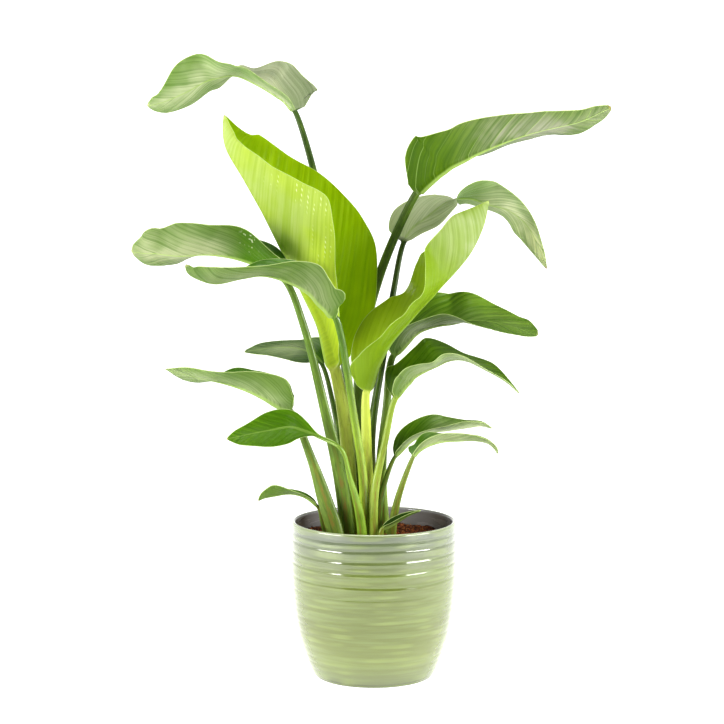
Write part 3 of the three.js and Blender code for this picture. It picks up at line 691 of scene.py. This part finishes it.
def blade_section(station, columns, leaf, look, phase):
    """The folded blade with midrib, pleats and wavy margins: the upper row, then the lower one back."""
    up = turned(station, sum(station["angles"]) / 2)
    slimmed = min(1, 1.6 * station["along"])
    rib_depth = mix(2 * station["stalk_depth"], TIP_RIB_DEPTH, slimmed) * RIB_DEPTH_SHARE
    rib = rib_width(station)
    groove = RIB_GROOVE * min(rib, rib_depth)
    rows = []
    for half, sign in ((0, 1), (1, -1)):
        width = station["widths"][half]
        fold = station["angles"][half]
        upper = [station["point"] - up * groove]
        lower = [station["point"] - up * rib_depth]
        position = station["point"].copy()
        previous = 0
        for distance in columns[half]:
            share = (previous + distance) / 2 / width
            heading = turned(station, fold + sign * BLADE_CURL * (2 * share - 1))
            position = position + heading * (distance - previous)
            previous = distance
            across = distance / width
            normal = turned(station, fold + sign * BLADE_CURL * (2 * across - 1) + sign * 90)
            reach = leaf["lobes"][half] * across ** 2 * math.exp(-station["along"] / LOBE_REACH)
            lift = blade_lift(station, distance, half, look, phase)
            point = position - station["tangent"] * reach + normal * lift
            upper.append(point - up * groove * math.exp(-(distance / (RIB_GROOVE_WIDTH * rib)) ** 2))
            bulge = math.sqrt(max(0, 1 - (distance / (RIB_SWELL_WIDTH * rib)) ** 2))
            bulge *= rib_depth - BLADE_THICKNESS
            taper = ease(1 - (width - distance) / MARGIN_TAPER)
            lower.append(point - normal * mix(BLADE_THICKNESS, MARGIN_THICKNESS, taper) - up * bulge)
        rows.append((upper, lower))
    (upper_a, lower_a), (upper_b, lower_b) = rows
    return [*upper_a[:0:-1], *upper_b, *lower_b[:0:-1], *lower_a]


def section_marks(station, distances, shares, look, phase):
    """What the materials read at each vertex of a section: its vein, distance from the midrib and
    distance from the margin, its shares of the blade, and its place around and along the stalk."""
    upper = []
    for distance, share in zip(distances, shares):
        vein = vein_place(station["length"], abs(distance), look["slant"], phase)
        width = station["widths"][0 if distance < 0 else 1]
        upper.append((
            Vector((vein, distance, width - abs(distance))),
            Vector((station["along"], abs(share), station["blend"])),
            math.radians(OVAL_SPREAD * share),
        ))
    lower = [(place, shape, math.pi - bearing) for place, shape, bearing in reversed(upper)]
    return [
        (place, shape, Vector((math.cos(bearing), math.sin(bearing), station["length"] / STREAK_LENGTH)))
        for place, shape, bearing in upper + lower
    ]


def build_leaf(name, leaf, look, phase):
    """One leaf from the foot of its stem to its tip, with its place written on every vertex."""
    bm = bmesh.new()
    layers = [bm.verts.layers.float_vector.new(label) for label in MARK_LAYERS]
    stations = leaf_stations(leaf)
    widest = max(width for station in stations for width in station["widths"])
    count = FEWEST_COLUMNS + math.ceil(widest / COLUMN_STEP)
    rings, marks = [], []
    for station in stations:
        widths = station["widths"]
        columns = [column_distances(width, rib_width(station), count) for width in widths]
        shares = across_both(*[[d / width for d in row] for row, width in zip(columns, widths)])
        ring = stalk_section(station, shares)
        if station["blend"] > 0:
            blade = blade_section(station, columns, leaf, look, phase)
            ring = [a.lerp(b, station["blend"]) for a, b in zip(ring, blade)]
        rings.append(ring)
        marks.append(section_marks(station, across_both(*columns), shares, look, phase))
    grid = loft(bm, rings)
    for row, line in zip(grid, marks):
        for vert, vectors in zip(row, line):
            for layer, vector in zip(layers, vectors):
                vert[layer] = vector
    upper = {vert for row in grid for vert in row[:2 * count + 1]}
    upper_faces = [face for face in bm.faces if all(vert in upper for vert in face.verts)]
    for face in bm.faces:
        face.material_index = 1
    for face in upper_faces:
        face.material_index = 0
    # The same diagonals on both sides keep the thin blade from showing through itself.
    bmesh.ops.triangulate(bm, faces=upper_faces, quad_method="FIXED")
    bmesh.ops.triangulate(bm, faces=[f for f in bm.faces if len(f.verts) == 4], quad_method="ALTERNATE")
    close_row(bm, grid[0])
    close_row(bm, grid[-1], to_point=True)
    upper_side = leaf_material(name + "_upper_side", look, underside=False)
    underside = leaf_material(name + "_underside", look, underside=True)
    piece = finish_piece(name + "_fine", bm, [upper_side, underside])
    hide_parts(name)
    return piece


# ---------------------------------------------------------------- shader tools

def put(tree, kind, **inputs):
    """Adds a node and fills its named inputs with values or links."""
    node = tree.nodes.new(kind)
    for name, value in inputs.items():
        fill(tree, node.inputs[name.replace("_", " ")], value)
    return node


def fill(tree, socket, value):
    if isinstance(value, bpy.types.NodeSocket):
        tree.links.new(value, socket)
    else:
        socket.default_value = value


def calc(tree, operation, *values):
    node = tree.nodes.new("ShaderNodeMath")
    node.operation = operation
    for socket, value in zip(node.inputs, values):
        fill(tree, socket, value)
    return node.outputs[0]


def product(tree, value, *others):
    for other in others:
        value = calc(tree, "MULTIPLY", value, other)
    return value


def span(tree, value, low, high, to_low=0.0, to_high=1.0):
    """A value eased from one range to another."""
    node = tree.nodes.new("ShaderNodeMapRange")
    node.interpolation_type = "SMOOTHSTEP"
    for socket, number in zip(node.inputs, (value, low, high, to_low, to_high)):
        fill(tree, socket, number)
    return node.outputs[0]


def blend(tree, share, a, b, kind="MIX"):
    node = tree.nodes.new("ShaderNodeMix")
    node.data_type = "RGBA"
    node.blend_type = kind
    for name, value in ((0, share), (6, a), (7, b)):
        fill(tree, node.inputs[name], value)
    return node.outputs[2]


def mottle(tree, place, scale, detail=3.0, roughness=0.55):
    """Cloudy noise between 0 and 1."""
    node = put(tree, "ShaderNodeTexNoise", Vector=place, Scale=scale, Detail=detail, Roughness=roughness)
    return node.outputs[0]


def new_group(name, inputs, outputs):
    """A shader group with named sockets, and its inner input and output nodes."""
    group = bpy.data.node_groups.new(name, "ShaderNodeTree")
    for label, kind, value in inputs:
        socket = group.interface.new_socket(label, in_out="INPUT", socket_type="NodeSocket" + kind)
        if value is not None:
            socket.default_value = value
    for label, kind in outputs:
        group.interface.new_socket(label, in_out="OUTPUT", socket_type="NodeSocket" + kind)
    return group, group.nodes.new("NodeGroupInput").outputs, group.nodes.new("NodeGroupOutput").inputs


def use_group(tree, group, **inputs):
    node = put(tree, "ShaderNodeGroup")
    node.node_tree = group
    for name, value in inputs.items():
        fill(tree, node.inputs[name], value)
    return node.outputs


def new_material(name):
    """A material with its tree, its Principled shader and its output."""
    material = bpy.data.materials.new(name)
    material.use_nodes = True
    tree = material.node_tree
    return material, tree, tree.nodes["Principled BSDF"], tree.nodes["Material Output"]


def attribute(tree, name):
    node = tree.nodes.new("ShaderNodeAttribute")
    node.attribute_name = name
    return node.outputs["Vector"]


def object_place(tree):
    return put(tree, "ShaderNodeTexCoord").outputs["Object"]


def apart(tree, vector):
    return put(tree, "ShaderNodeSeparateXYZ", Vector=vector).outputs


def together(tree, x, y, z):
    return put(tree, "ShaderNodeCombineXYZ", X=x, Y=y, Z=z).outputs[0]


def bump(tree, height, strength, distance):
    return put(tree, "ShaderNodeBump", Height=height, Strength=strength, Distance=distance).outputs[0]


# ---------------------------------------------------------------- leaf materials

def make_vein_group():
    """Veins that leave the midrib at a slant: fine lines, broad pleats with the share of each that
    is passed, streaks of sheen, and how strongly the pleats show."""
    tree, given, result = new_group(
        "leaf_veins",
        [("Place", "Vector", None), ("Fine Spacing", "Float", FINE_VEIN_SPACING)],
        [("Fine", "Float"), ("Pleats", "Float"), ("Fade", "Float"), ("Sheen", "Float"), ("Weight", "Float")],
    )
    vein, side, _ = apart(tree, given["Place"])
    slow = together(tree, product(tree, vein, 0.035), product(tree, side, 0.01), 7.0)
    fill(tree, result["Weight"], span(tree, mottle(tree, slow, 1.0, 1.0), 0.38, 0.62))
    turn = calc(tree, "DIVIDE", vein, PLEAT_SPACING)
    pleat = calc(tree, "COSINE", product(tree, turn, 2 * math.pi))
    fill(tree, result["Pleats"], calc(tree, "MULTIPLY_ADD", pleat, 0.5, 0.5))
    fill(tree, result["Fade"], calc(tree, "FRACT", turn))
    uneven = mottle(tree, together(tree, product(tree, vein, 0.05), product(tree, side, 0.02), 0.0), 1.0)
    vein = calc(tree, "ADD", vein, product(tree, uneven, 3.0))
    fine_turn = calc(tree, "DIVIDE", vein, given["Fine Spacing"])
    fine = calc(tree, "SINE", product(tree, fine_turn, 2 * math.pi))
    fill(tree, result["Fine"], calc(tree, "MULTIPLY_ADD", fine, 0.5, 0.5))
    streak = together(tree, product(tree, vein, 0.2), product(tree, side, 0.012), 3.0)
    fill(tree, result["Sheen"], mottle(tree, streak, 1.0, 4.0))
    return tree


VEINS = make_vein_group()


def read_leaf(tree):
    """Where a point is on its leaf, and the veins there."""
    place = attribute(tree, "leaf_place")
    _, side, margin = apart(tree, place)
    along, across, on_blade = apart(tree, attribute(tree, "leaf_shape"))
    return dict(
        side=side, margin=margin, along=along, across=across, on_blade=on_blade,
        place=object_place(tree), veins=use_group(tree, VEINS, Place=place),
    )


def on_stretch(tree, here, pattern, stretch, ramp, from_margin, to_rib):
    """A pattern that is kept to a stretch of the first half of the blade, clear of its margin."""
    first, last = stretch
    return product(
        tree, pattern,
        span(tree, here["along"], first, first + ramp),
        span(tree, here["along"], last, last - ramp),
        span(tree, here["margin"], *from_margin),
        span(tree, here["margin"], *to_rib),
        span(tree, here["side"], 0.0, -1.0),
    )


def pale_bloom_and_sheen(tree, here, look, underside, saw):
    """How strongly the pale bloom and painted sheen show: in streaks and patches, and in steps from pleat to
    pleat that paint each pleat lighter on one side and darker on the other.
    """
    veins = here["veins"]
    amount, start = look["under_bloom_and_sheen"] if underside else look["upper_bloom_and_sheen"]
    lighter = calc(tree, "MULTIPLY_ADD", saw, 0.3, 1.0)
    darker = calc(tree, "MULTIPLY_ADD", saw, -0.8, 1.0)
    return product(
        tree,
        span(tree, here["along"], start, start + 0.3, 0.0, amount),
        span(tree, here["across"], 0.0, 1.1, 1.0, 0.4),
        span(tree, veins["Sheen"], 0.3, 0.62, 0.45, 1.1),
        span(tree, veins["Fade"], 0.0, 1.0, lighter, darker),
        span(tree, mottle(tree, here["place"], 22.0, 2.0), 0.38, 0.62, 0.6, 1.25),
    )


def blade_colour(tree, here, look, underside):
    """Streaked greens with painted shade in steps between pleats, pale bloom with painted sheen, midrib,
    spots, painted glints, margin and tip.
    """
    veins = here["veins"]
    base = linear(look["under"] if underside else look["upper"])
    dark = tinted(base, (0.6, 0.7, 0.4), look["contrast"])
    pale = tinted(base, (1.3, 1.18, 1.2), look["contrast"])
    colour = blend(tree, span(tree, veins["Sheen"], 0.32, 0.68), dark, pale)
    colour = blend(tree, span(tree, veins["Fine"], 0.55, 1.0, 0.0, 0.2), colour, pale)
    saw_here = span(tree, here["along"], 0.4, 0.85, look["saw"], 0.25 * look["saw"])
    saw = product(tree, veins["Weight"], saw_here)
    # Painted shade: each pleat darkens in a step into the fold before the next.
    crease_shade = span(tree, veins["Fade"], 0.86, 0.98, 0.0, saw)
    colour = blend(tree, crease_shade, colour, tinted(base, (0.4, 0.5, 0.3)))
    cloudy = mottle(tree, here["place"], 14.0)
    colour = blend(tree, span(tree, cloudy, 0.4, 0.65, 0.0, 0.5), colour, dark)
    # Pale wax bloom with painted sheen, laid over the greens.
    bloom_and_sheen = pale_bloom_and_sheen(tree, here, look, underside, saw)
    colour = blend(tree, bloom_and_sheen, colour, linear(look["bloom_and_sheen"]))

    vein_colour = linear("#a9c46a")
    rib_here = span(tree, here["along"], 0.0, 1.0, 2.6, 0.5)
    from_rib = calc(tree, "DIVIDE", calc(tree, "ABSOLUTE", here["side"]), rib_here)
    on_rib = product(tree, span(tree, from_rib, 1.15, 0.7), 0.6 if underside else 0.35)
    colour = blend(tree, on_rib, colour, vein_colour)
    crease = product(tree, span(tree, veins["Pleats"], 0.96, 1.0), look["crease"], veins["Weight"])
    colour = blend(tree, crease, colour, vein_colour)

    if look["specks"] and underside:
        strength, *stretch = look["specks"]
        specks = span(tree, mottle(tree, here["place"], 230.0, 1.0), 0.6, 0.68, 0.0, strength)
        specks = on_stretch(tree, here, specks, stretch, 0.1, (1.0, 4.0), (34.0, 12.0))
        colour = blend(tree, specks, colour, linear("#eef4d0"))
    # Painted glints: rows of near-white dots between the veins.
    if look["glint_rows"] and underside:
        strength, *stretch = look["glint_rows"]
        bead = calc(tree, "SINE", product(tree, here["side"], 2 * math.pi / BEAD_STEP))
        painted_glints = product(
            tree,
            span(tree, veins["Fade"], 0.3, 0.42), span(tree, veins["Fade"], 0.6, 0.48),
            span(tree, bead, 0.1, 0.7, 0.0, strength),
            span(tree, mottle(tree, here["place"], 60.0, 1.0), 0.45, 0.55),
        )
        painted_glints = on_stretch(tree, here, painted_glints, stretch, 0.08, (2.0, 5.0), (40.0, 20.0))
        colour = blend(tree, painted_glints, colour, linear("#eef4c4"))

    on_margin = product(tree, span(tree, here["margin"], 0.9, 0.3), 0.75)
    colour = blend(tree, on_margin, colour, linear("#cfdf9a"))
    at_tip = span(tree, here["along"], 0.98, 1.0, 0.0, 0.8)
    return blend(tree, at_tip, colour, linear(look["tip"]))


def stalk_colour(tree, here, look):
    """A green stem over a paler sheath with brown seams, both streaked, with painted shade at their sides."""
    height = apart(tree, here["place"])[2]
    across = here["across"]
    stem = linear(look["stem"])
    dark = tinted(stem, (0.5, 0.5, 0.5))
    colour = blend(tree, span(tree, height, 0.4, 0.2), stem, linear(look["sheath"]))
    lines = mottle(tree, attribute(tree, "stalk_place"), 7.0, 4.0)
    colour = blend(tree, span(tree, lines, 0.5, 0.66, 0.0, 0.55), colour, dark)
    colour = blend(tree, span(tree, lines, 0.48, 0.34, 0.0, 0.3), colour, linear("#9cb83c"))
    # Painted shade: darker towards the sides of the rounded stem.
    colour = blend(tree, span(tree, across, 0.7, 1.0, 0.0, 0.35), colour, dark)
    seams = product(
        tree, span(tree, height, 0.31, 0.2), span(tree, across, 0.95, 1.0), span(tree, lines, 0.42, 0.6), 0.7,
    )
    return blend(tree, seams, colour, linear("#8c7238"))


def leaf_material(name, look, underside):
    """Living leaf: veined blade on a smooth stalk, with light that shines through the blade."""
    material, tree, shader, output = new_material(name)
    here = read_leaf(tree)
    veins, on_blade = here["veins"], here["on_blade"]
    stalk = stalk_colour(tree, here, look)
    blade = blade_colour(tree, here, look, underside)
    skin = blend(tree, span(tree, on_blade, 0.1, 0.9), stalk, blade)
    fill(tree, shader.inputs["Base Color"], skin)

    speckle = mottle(tree, here["place"], 160.0)
    grain = span(tree, speckle, 0.3, 0.7, 0.0, 0.06)
    gloss = calc(tree, "ADD", grain, span(tree, veins["Sheen"], 0.3, 0.7, 0.0, 0.1))
    fill(tree, shader.inputs["Roughness"], calc(tree, "ADD", gloss, 0.28 if underside else 0.24))
    shader.inputs["Specular IOR Level"].default_value = 0.2 if underside else 0.3
    shader.inputs["Coat Weight"].default_value = 0.0 if underside else look["shine"]
    shader.inputs["Coat Roughness"].default_value = 0.14
    ridges = calc(tree, "ADD", product(tree, veins["Fine"], 0.35), product(tree, veins["Sheen"], 2.2))
    relief = calc(tree, "ADD", product(tree, ridges, on_blade), product(tree, speckle, 0.05))
    fill(tree, shader.inputs["Normal"], bump(tree, relief, 0.3, 0.0008))

    through = put(tree, "ShaderNodeBsdfTranslucent")
    fill(tree, through.inputs["Color"], blend(tree, 1.0, skin, linear("#f8ff96"), "MULTIPLY"))
    fill(tree, through.inputs["Normal"], bump(tree, relief, 0.3, 0.0008))
    both = put(tree, "ShaderNodeMixShader")
    fill(tree, both.inputs[0], span(tree, on_blade, 0.0, 1.0, 0.05, look["glow"]))
    tree.links.new(shader.outputs[0], both.inputs[1])
    tree.links.new(through.outputs[0], both.inputs[2])
    tree.links.new(both.outputs[0], output.inputs["Surface"])
    return material


# ---------------------------------------------------------------- pot

def pot_radius(z):
    """Radius of the pot's outside at a height, before its grooves."""
    i = next((k for k, (height, _) in enumerate(POT_SIDE) if height > z), len(POT_SIDE) - 1)
    place = i - 1 + (z - POT_SIDE[i - 1][0]) / (POT_SIDE[i][0] - POT_SIDE[i - 1][0])
    return smooth_numbers(POT_SIDE, max(place, 0))[1]


def groove_depth(z):
    """Depth of the throwing grooves at a height."""
    return sum(depth * math.exp(-((z - height) / half_width) ** 2) for height, depth, half_width in GROOVES)


def pot_profile():
    """The pot's section from the middle of its underside, over the lip, to the middle of its floor."""
    profile = [[0, 0, PLAIN]]
    profile += [[FOOT_RADIUS - inward, height, PLAIN] for inward, height in FOOT_RING]
    for k in range(FOOT_STEPS + 1):
        turn = math.pi / 2 * k / FOOT_STEPS
        radius = FOOT_RADIUS - FOOT_ROUND + FOOT_ROUND * math.sin(turn)
        profile.append([radius, FOOT_ROUND * (1 - math.cos(turn)), PLAIN])
    lip_start = POT_HEIGHT - POT_WALL / 2
    steps = round((lip_start - FOOT_ROUND) / SIDE_STEP)
    for k in range(1, steps):
        z = mix(FOOT_ROUND, lip_start, k / steps)
        profile.append([pot_radius(z), z, (1, groove_depth(z), 0)])
    for k in range(LIP_STEPS + 1):
        turn = math.pi * k / LIP_STEPS
        radius = RIM_RADIUS - POT_WALL / 2 + POT_WALL / 2 * math.cos(turn)
        glaze = ease((turn - INNER_GLAZE_TURN) / INNER_GLAZE_FADE)
        profile.append([radius, lip_start + POT_WALL / 2 * math.sin(turn), (0, 0, glaze)])
    for k in range(1, INSIDE_STEPS):
        z = mix(lip_start, POT_FLOOR + INSIDE_SLOPE_HEIGHT, k / INSIDE_STEPS)
        profile.append([pot_radius(z) - POT_WALL, z, INSIDE])
    floor_radius = pot_radius(POT_FLOOR + 1) - POT_WALL - INSIDE_SLOPE
    return profile + [[floor_radius, POT_FLOOR, INSIDE], [0, POT_FLOOR, INSIDE]]


def build_pot():
    """The turned pot: ribbed outside, rounded lip, and a plain grey glazed inside."""
    bm = bmesh.new()
    marks = turned_shape(bm, pot_profile(), POT_STEPS)
    for vert in bm.verts:
        on_side, _, _ = vert[marks]
        if not on_side:
            continue
        x, y, z = vert.co / MM
        bearing = math.atan2(y, x)
        ring = Vector((math.cos(bearing), math.sin(bearing), 0))
        wander = GROOVE_WANDER * wave(ring.x * 1.2, ring.y * 1.2, z / 40)
        cut = groove_depth(z + wander) * (0.8 + 0.35 * wave(ring.x * 2, ring.y * 2, z / 9))
        cut = min(cut, DEEPEST_CUT) + UNEVEN_CUT * (1 + wave(ring.x * 3, ring.y * 3, z / 14))
        vert[marks] = Vector((1, cut, 0))
        vert.co -= ring * cut * MM
    for face in bm.faces:
        face.material_index = 1 if sum(vert[marks].z for vert in face.verts) > 2 else 0
    piece = finish_piece("glazed_pot", bm, [glaze_material(), inner_glaze_material()])
    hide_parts("pot")
    return piece


def glaze_material():
    """Sage glaze that breaks paler on the ribs and pools darker in the grooves, with a painted shadow at the
    foot.
    """
    material, tree, shader, _ = new_material("sage_glaze")
    place = object_place(tree)
    x, y, z = apart(tree, place)
    cut = apart(tree, attribute(tree, "glaze_place"))[1]
    ramp = tree.nodes.new("ShaderNodeValToRGB")
    while len(ramp.color_ramp.elements) < len(GLAZE_AND_FOOT_SHADOW_BANDS):
        ramp.color_ramp.elements.new(0.5)
    for element, (share, band_colour) in zip(ramp.color_ramp.elements, GLAZE_AND_FOOT_SHADOW_BANDS):
        element.position = share
        element.color = linear(band_colour)
    fill(tree, ramp.inputs[0], calc(tree, "DIVIDE", z, POT_HEIGHT * MM))
    level = together(tree, product(tree, x, 0.6), product(tree, y, 0.6), product(tree, z, 12.0))
    streaks = mottle(tree, level, 16.0, 4.0)
    colour = blend(tree, span(tree, streaks, 0.4, 0.7, 0.0, 0.28), ramp.outputs[0], linear("#84965c"))
    colour = blend(tree, span(tree, streaks, 0.45, 0.25, 0.0, 0.15), colour, linear("#5e6c46"))
    colour = blend(tree, span(tree, cut, 0.2, 0.8, 0.0, 0.25), colour, linear("#5f6e30"))
    colour = blend(tree, span(tree, cut, 0.16, 0.05, 0.0, 0.3), colour, linear("#8b9a50"))
    freckles = mottle(tree, place, 900.0, 2.0)
    colour = blend(tree, span(tree, freckles, 0.62, 0.78, 0.0, 0.3), colour, linear("#707d4c"))
    lip_low, lip_high = ((POT_HEIGHT - below) * MM for below in LIP_BAND)
    on_lip = product(tree, span(tree, z, lip_low, lip_high), 0.55)
    fill(tree, shader.inputs["Base Color"], blend(tree, on_lip, colour, linear("#c3ccaa")))
    fill(tree, shader.inputs["Roughness"], span(tree, streaks, 0.3, 0.7, 0.16, 0.26))
    shader.inputs["Specular IOR Level"].default_value = 0.5
    shader.inputs["Coat Weight"].default_value = 1.0
    shader.inputs["Coat Roughness"].default_value = 0.035
    waves = calc(tree, "ADD", mottle(tree, place, 60.0, 2.0), product(tree, freckles, 0.05))
    fill(tree, shader.inputs["Normal"], bump(tree, waves, 0.15, 0.0006))
    return material


def inner_glaze_material():
    """Dark grey glaze inside the pot, with faint paler runs."""
    material, tree, shader, _ = new_material("grey_inner_glaze")
    x, y, z = apart(tree, object_place(tree))
    runs = mottle(tree, together(tree, x, y, product(tree, z, 6.0)), 20.0, 4.0)
    colour = blend(tree, span(tree, runs, 0.35, 0.75), linear("#7c7b7a"), linear("#8c8a88"))
    fill(tree, shader.inputs["Base Color"], colour)
    fill(tree, shader.inputs["Roughness"], span(tree, runs, 0.3, 0.7, 0.2, 0.35))
    shader.inputs["Coat Weight"].default_value = 0.5
    shader.inputs["Coat Roughness"].default_value = 0.1
    return material


# ---------------------------------------------------------------- soil

def soil_height(x, y):
    """Height of the lumpy, crumbly top, which falls a little towards the wall."""
    lump = math.sin(x / 9) * math.cos(y / 11) + 0.6 * math.sin((x + y) / 5)
    crumbs = wave(x / 3.1, y / 3.1, 0) + 0.6 * wave(x / 1.3, y / 1.3, 4)
    return SOIL_TOP + SOIL_LUMP * lump / 1.6 - SOIL_FALL * (x * x + y * y) + CRUMB_HEIGHT * crumbs


def soil_radius(z, gap):
    """Radius of the soil at a height, with a gap more than its clearance."""
    return pot_radius(z) - POT_WALL - SOIL_CLEARANCE - gap


def build_soil():
    """Coir filling with a crumbly top."""
    bottom = POT_FLOOR + SOIL_CLEARANCE
    profile = [[0, bottom], [soil_radius(14, 5), bottom + 1]]
    profile += [[soil_radius(z, 1.2), z] for z in SOIL_HEIGHTS]
    rim = soil_radius(SOIL_RIM_HEIGHT, 1.0)
    profile += [[rim * (1 - k / SOIL_RINGS), SOIL_TOP] for k in range(SOIL_RINGS + 1)]
    bm = bmesh.new()
    turned_shape(bm, [[*point, PLAIN] for point in profile], SOIL_STEPS)
    for vert in bm.verts:
        if vert.co.z > (SOIL_TOP - 0.1) * MM:
            x, y, _ = vert.co / MM
            vert.co.z = soil_height(x, y) * MM
    piece = finish_piece("coir_soil_fine", bm, [coir_material("coir_soil", "#b8622e", "#1e0c06")])
    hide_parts("soil")
    return piece


def build_fibres(seed):
    """Loose coir fibres that lie on the soil."""
    draw = random.Random(seed)
    bm = bmesh.new()
    rim = pot_radius(SOIL_RIM_HEIGHT) - POT_WALL - FIBRE_MARGIN
    for _ in range(FIBRES):
        radius = rim * math.sqrt(draw.random())
        bearing = draw.uniform(0, 2 * math.pi)
        x, y = radius * math.cos(bearing), radius * math.sin(bearing)
        heading = draw.uniform(0, 2 * math.pi)
        bend = draw.uniform(-0.5, 0.5)
        step = draw.uniform(1.2, 3.6)
        thickness = draw.uniform(0.18, 0.45)
        lift = draw.uniform(0.2, 1.6)
        rings = []
        for k in range(FIBRE_POINTS):
            if math.hypot(x, y) > rim:
                x, y = x * rim / math.hypot(x, y), y * rim / math.hypot(x, y)
            z = soil_height(x, y) + thickness + lift * math.sin(math.pi * k / (FIBRE_POINTS - 1))
            side = Vector((-math.sin(heading), math.cos(heading), 0))
            slim = thickness * (0.5 if k in (0, FIBRE_POINTS - 1) else 1)
            rings.append([
                Vector((x, y, z)) + side * slim * math.cos(turn) + Vector((0, 0, slim * math.sin(turn)))
                for turn in (0, 2 * math.pi / 3, 4 * math.pi / 3)
            ])
            x += step * math.cos(heading)
            y += step * math.sin(heading)
            heading += bend
        grid = loft(bm, rings)
        close_row(bm, grid[0])
        close_row(bm, grid[-1])
    piece = finish_piece("coir_fibres", bm, [coir_material("coir_fibre", "#cc8648", "#6a3014")])
    return piece


def coir_material(name, light, dark):
    """Damp coir: red-brown crumbs, darker in their hollows with the coir's own dark bits and with painted
    shade.
    """
    material, tree, shader, _ = new_material(name)
    place = object_place(tree)
    crumbs = mottle(tree, place, 260.0, 5.0, 0.75)
    patches = mottle(tree, place, 60.0, 3.0)
    # The crumbs darken where their bump is low: partly dark coir, partly painted shade in the hollows.
    colour = blend(tree, span(tree, crumbs, 0.42, 0.62), linear(dark), linear(light))
    colour = blend(tree, span(tree, patches, 0.4, 0.7, 0.0, 0.6), colour, linear("#2c140a"))
    fill(tree, shader.inputs["Base Color"], colour)
    shader.inputs["Roughness"].default_value = 0.92
    fill(tree, shader.inputs["Normal"], bump(tree, crumbs, 0.8, 0.001))
    return material


# ---------------------------------------------------------------- studio

def area_light(name, place, aim, size, power):
    light = bpy.data.lights.new(name, "AREA")
    light.shape = "RECTANGLE"
    light.size, light.size_y = size
    light.energy = power
    lamp = bpy.data.objects.new(name, light)
    lamp.location = place
    lamp.rotation_euler = (Vector(aim) - Vector(place)).to_track_quat("-Z", "Y").to_euler()
    bpy.context.scene.collection.objects.link(lamp)


def build_surround():
    """White surround that is dimmer on the room's side, so gloss has something to show."""
    world = bpy.data.worlds.new("white_surround")
    world.use_nodes = True
    bpy.context.scene.world = world
    tree = world.node_tree
    background = tree.nodes["Background"]
    background.inputs["Color"].default_value = (1, 1, 1, 1)
    direction = put(tree, "ShaderNodeTexCoord").outputs["Generated"]
    _, depth, height = apart(tree, direction)
    wall = span(tree, calc(tree, "ABSOLUTE", height), 0.1, 0.5, WHITE_SIDE_LIGHT, CEILING_LIGHT)
    lit = span(tree, depth, -0.4, -0.1, ROOM_SIDE_LIGHT, wall)
    seen = product(tree, put(tree, "ShaderNodeLightPath").outputs["Is Camera Ray"], SEEN_LIGHT)
    fill(tree, background.inputs["Strength"], calc(tree, "MAXIMUM", lit, seen))


def build_floor():
    """White paper floor."""
    bm = bmesh.new()
    bmesh.ops.create_grid(bm, x_segments=2, y_segments=2, size=FLOOR_SIZE)
    mesh = bpy.data.meshes.new("studio_floor")
    bm.to_mesh(mesh)
    bm.free()
    floor = bpy.data.objects.new("studio_floor", mesh)
    bpy.context.scene.collection.objects.link(floor)
    material, _, shader, _ = new_material("white_floor")
    shader.inputs["Base Color"].default_value = (0.93, 0.93, 0.93, 1)
    shader.inputs["Roughness"].default_value = 0.7
    shader.inputs["Specular IOR Level"].default_value = 0.2
    shader.inputs["Emission Color"].default_value = (1, 1, 1, 1)
    shader.inputs["Emission Strength"].default_value = FLOOR_LIGHT
    mesh.materials.append(material)


def build_camera():
    """Camera that frames the plant as the photograph does."""
    data = bpy.data.cameras.new("camera")
    data.sensor_width = SENSOR_WIDTH
    data.lens = CAMERA_FOCAL_PIXELS / PHOTO_WIDTH * SENSOR_WIDTH
    camera = bpy.data.objects.new("camera", data)
    camera.location = Vector(CAMERA_PLACE) * MM
    camera.rotation_euler = (math.pi / 2 - CAMERA_TILT, 0, 0)
    bpy.context.scene.collection.objects.link(camera)
    bpy.context.scene.camera = camera


def build_studio():
    """White floor and surround with softboxes on both sides and above, and the camera."""
    build_floor()
    build_surround()
    for softbox in SOFTBOXES:
        area_light(*softbox)
    build_camera()
    view = bpy.context.scene.view_settings
    view.view_transform = "Standard"
    view.look = "Medium High Contrast"


build_studio()
build_pot()
build_soil()
build_fibres(seed=7)
for number, (leaf_name, leaf_form) in enumerate(LEAVES.items()):
    build_leaf(leaf_name, leaf_form, {**USUAL_LOOK, **LOOKS[leaf_name]}, PHASE_STEP * number)
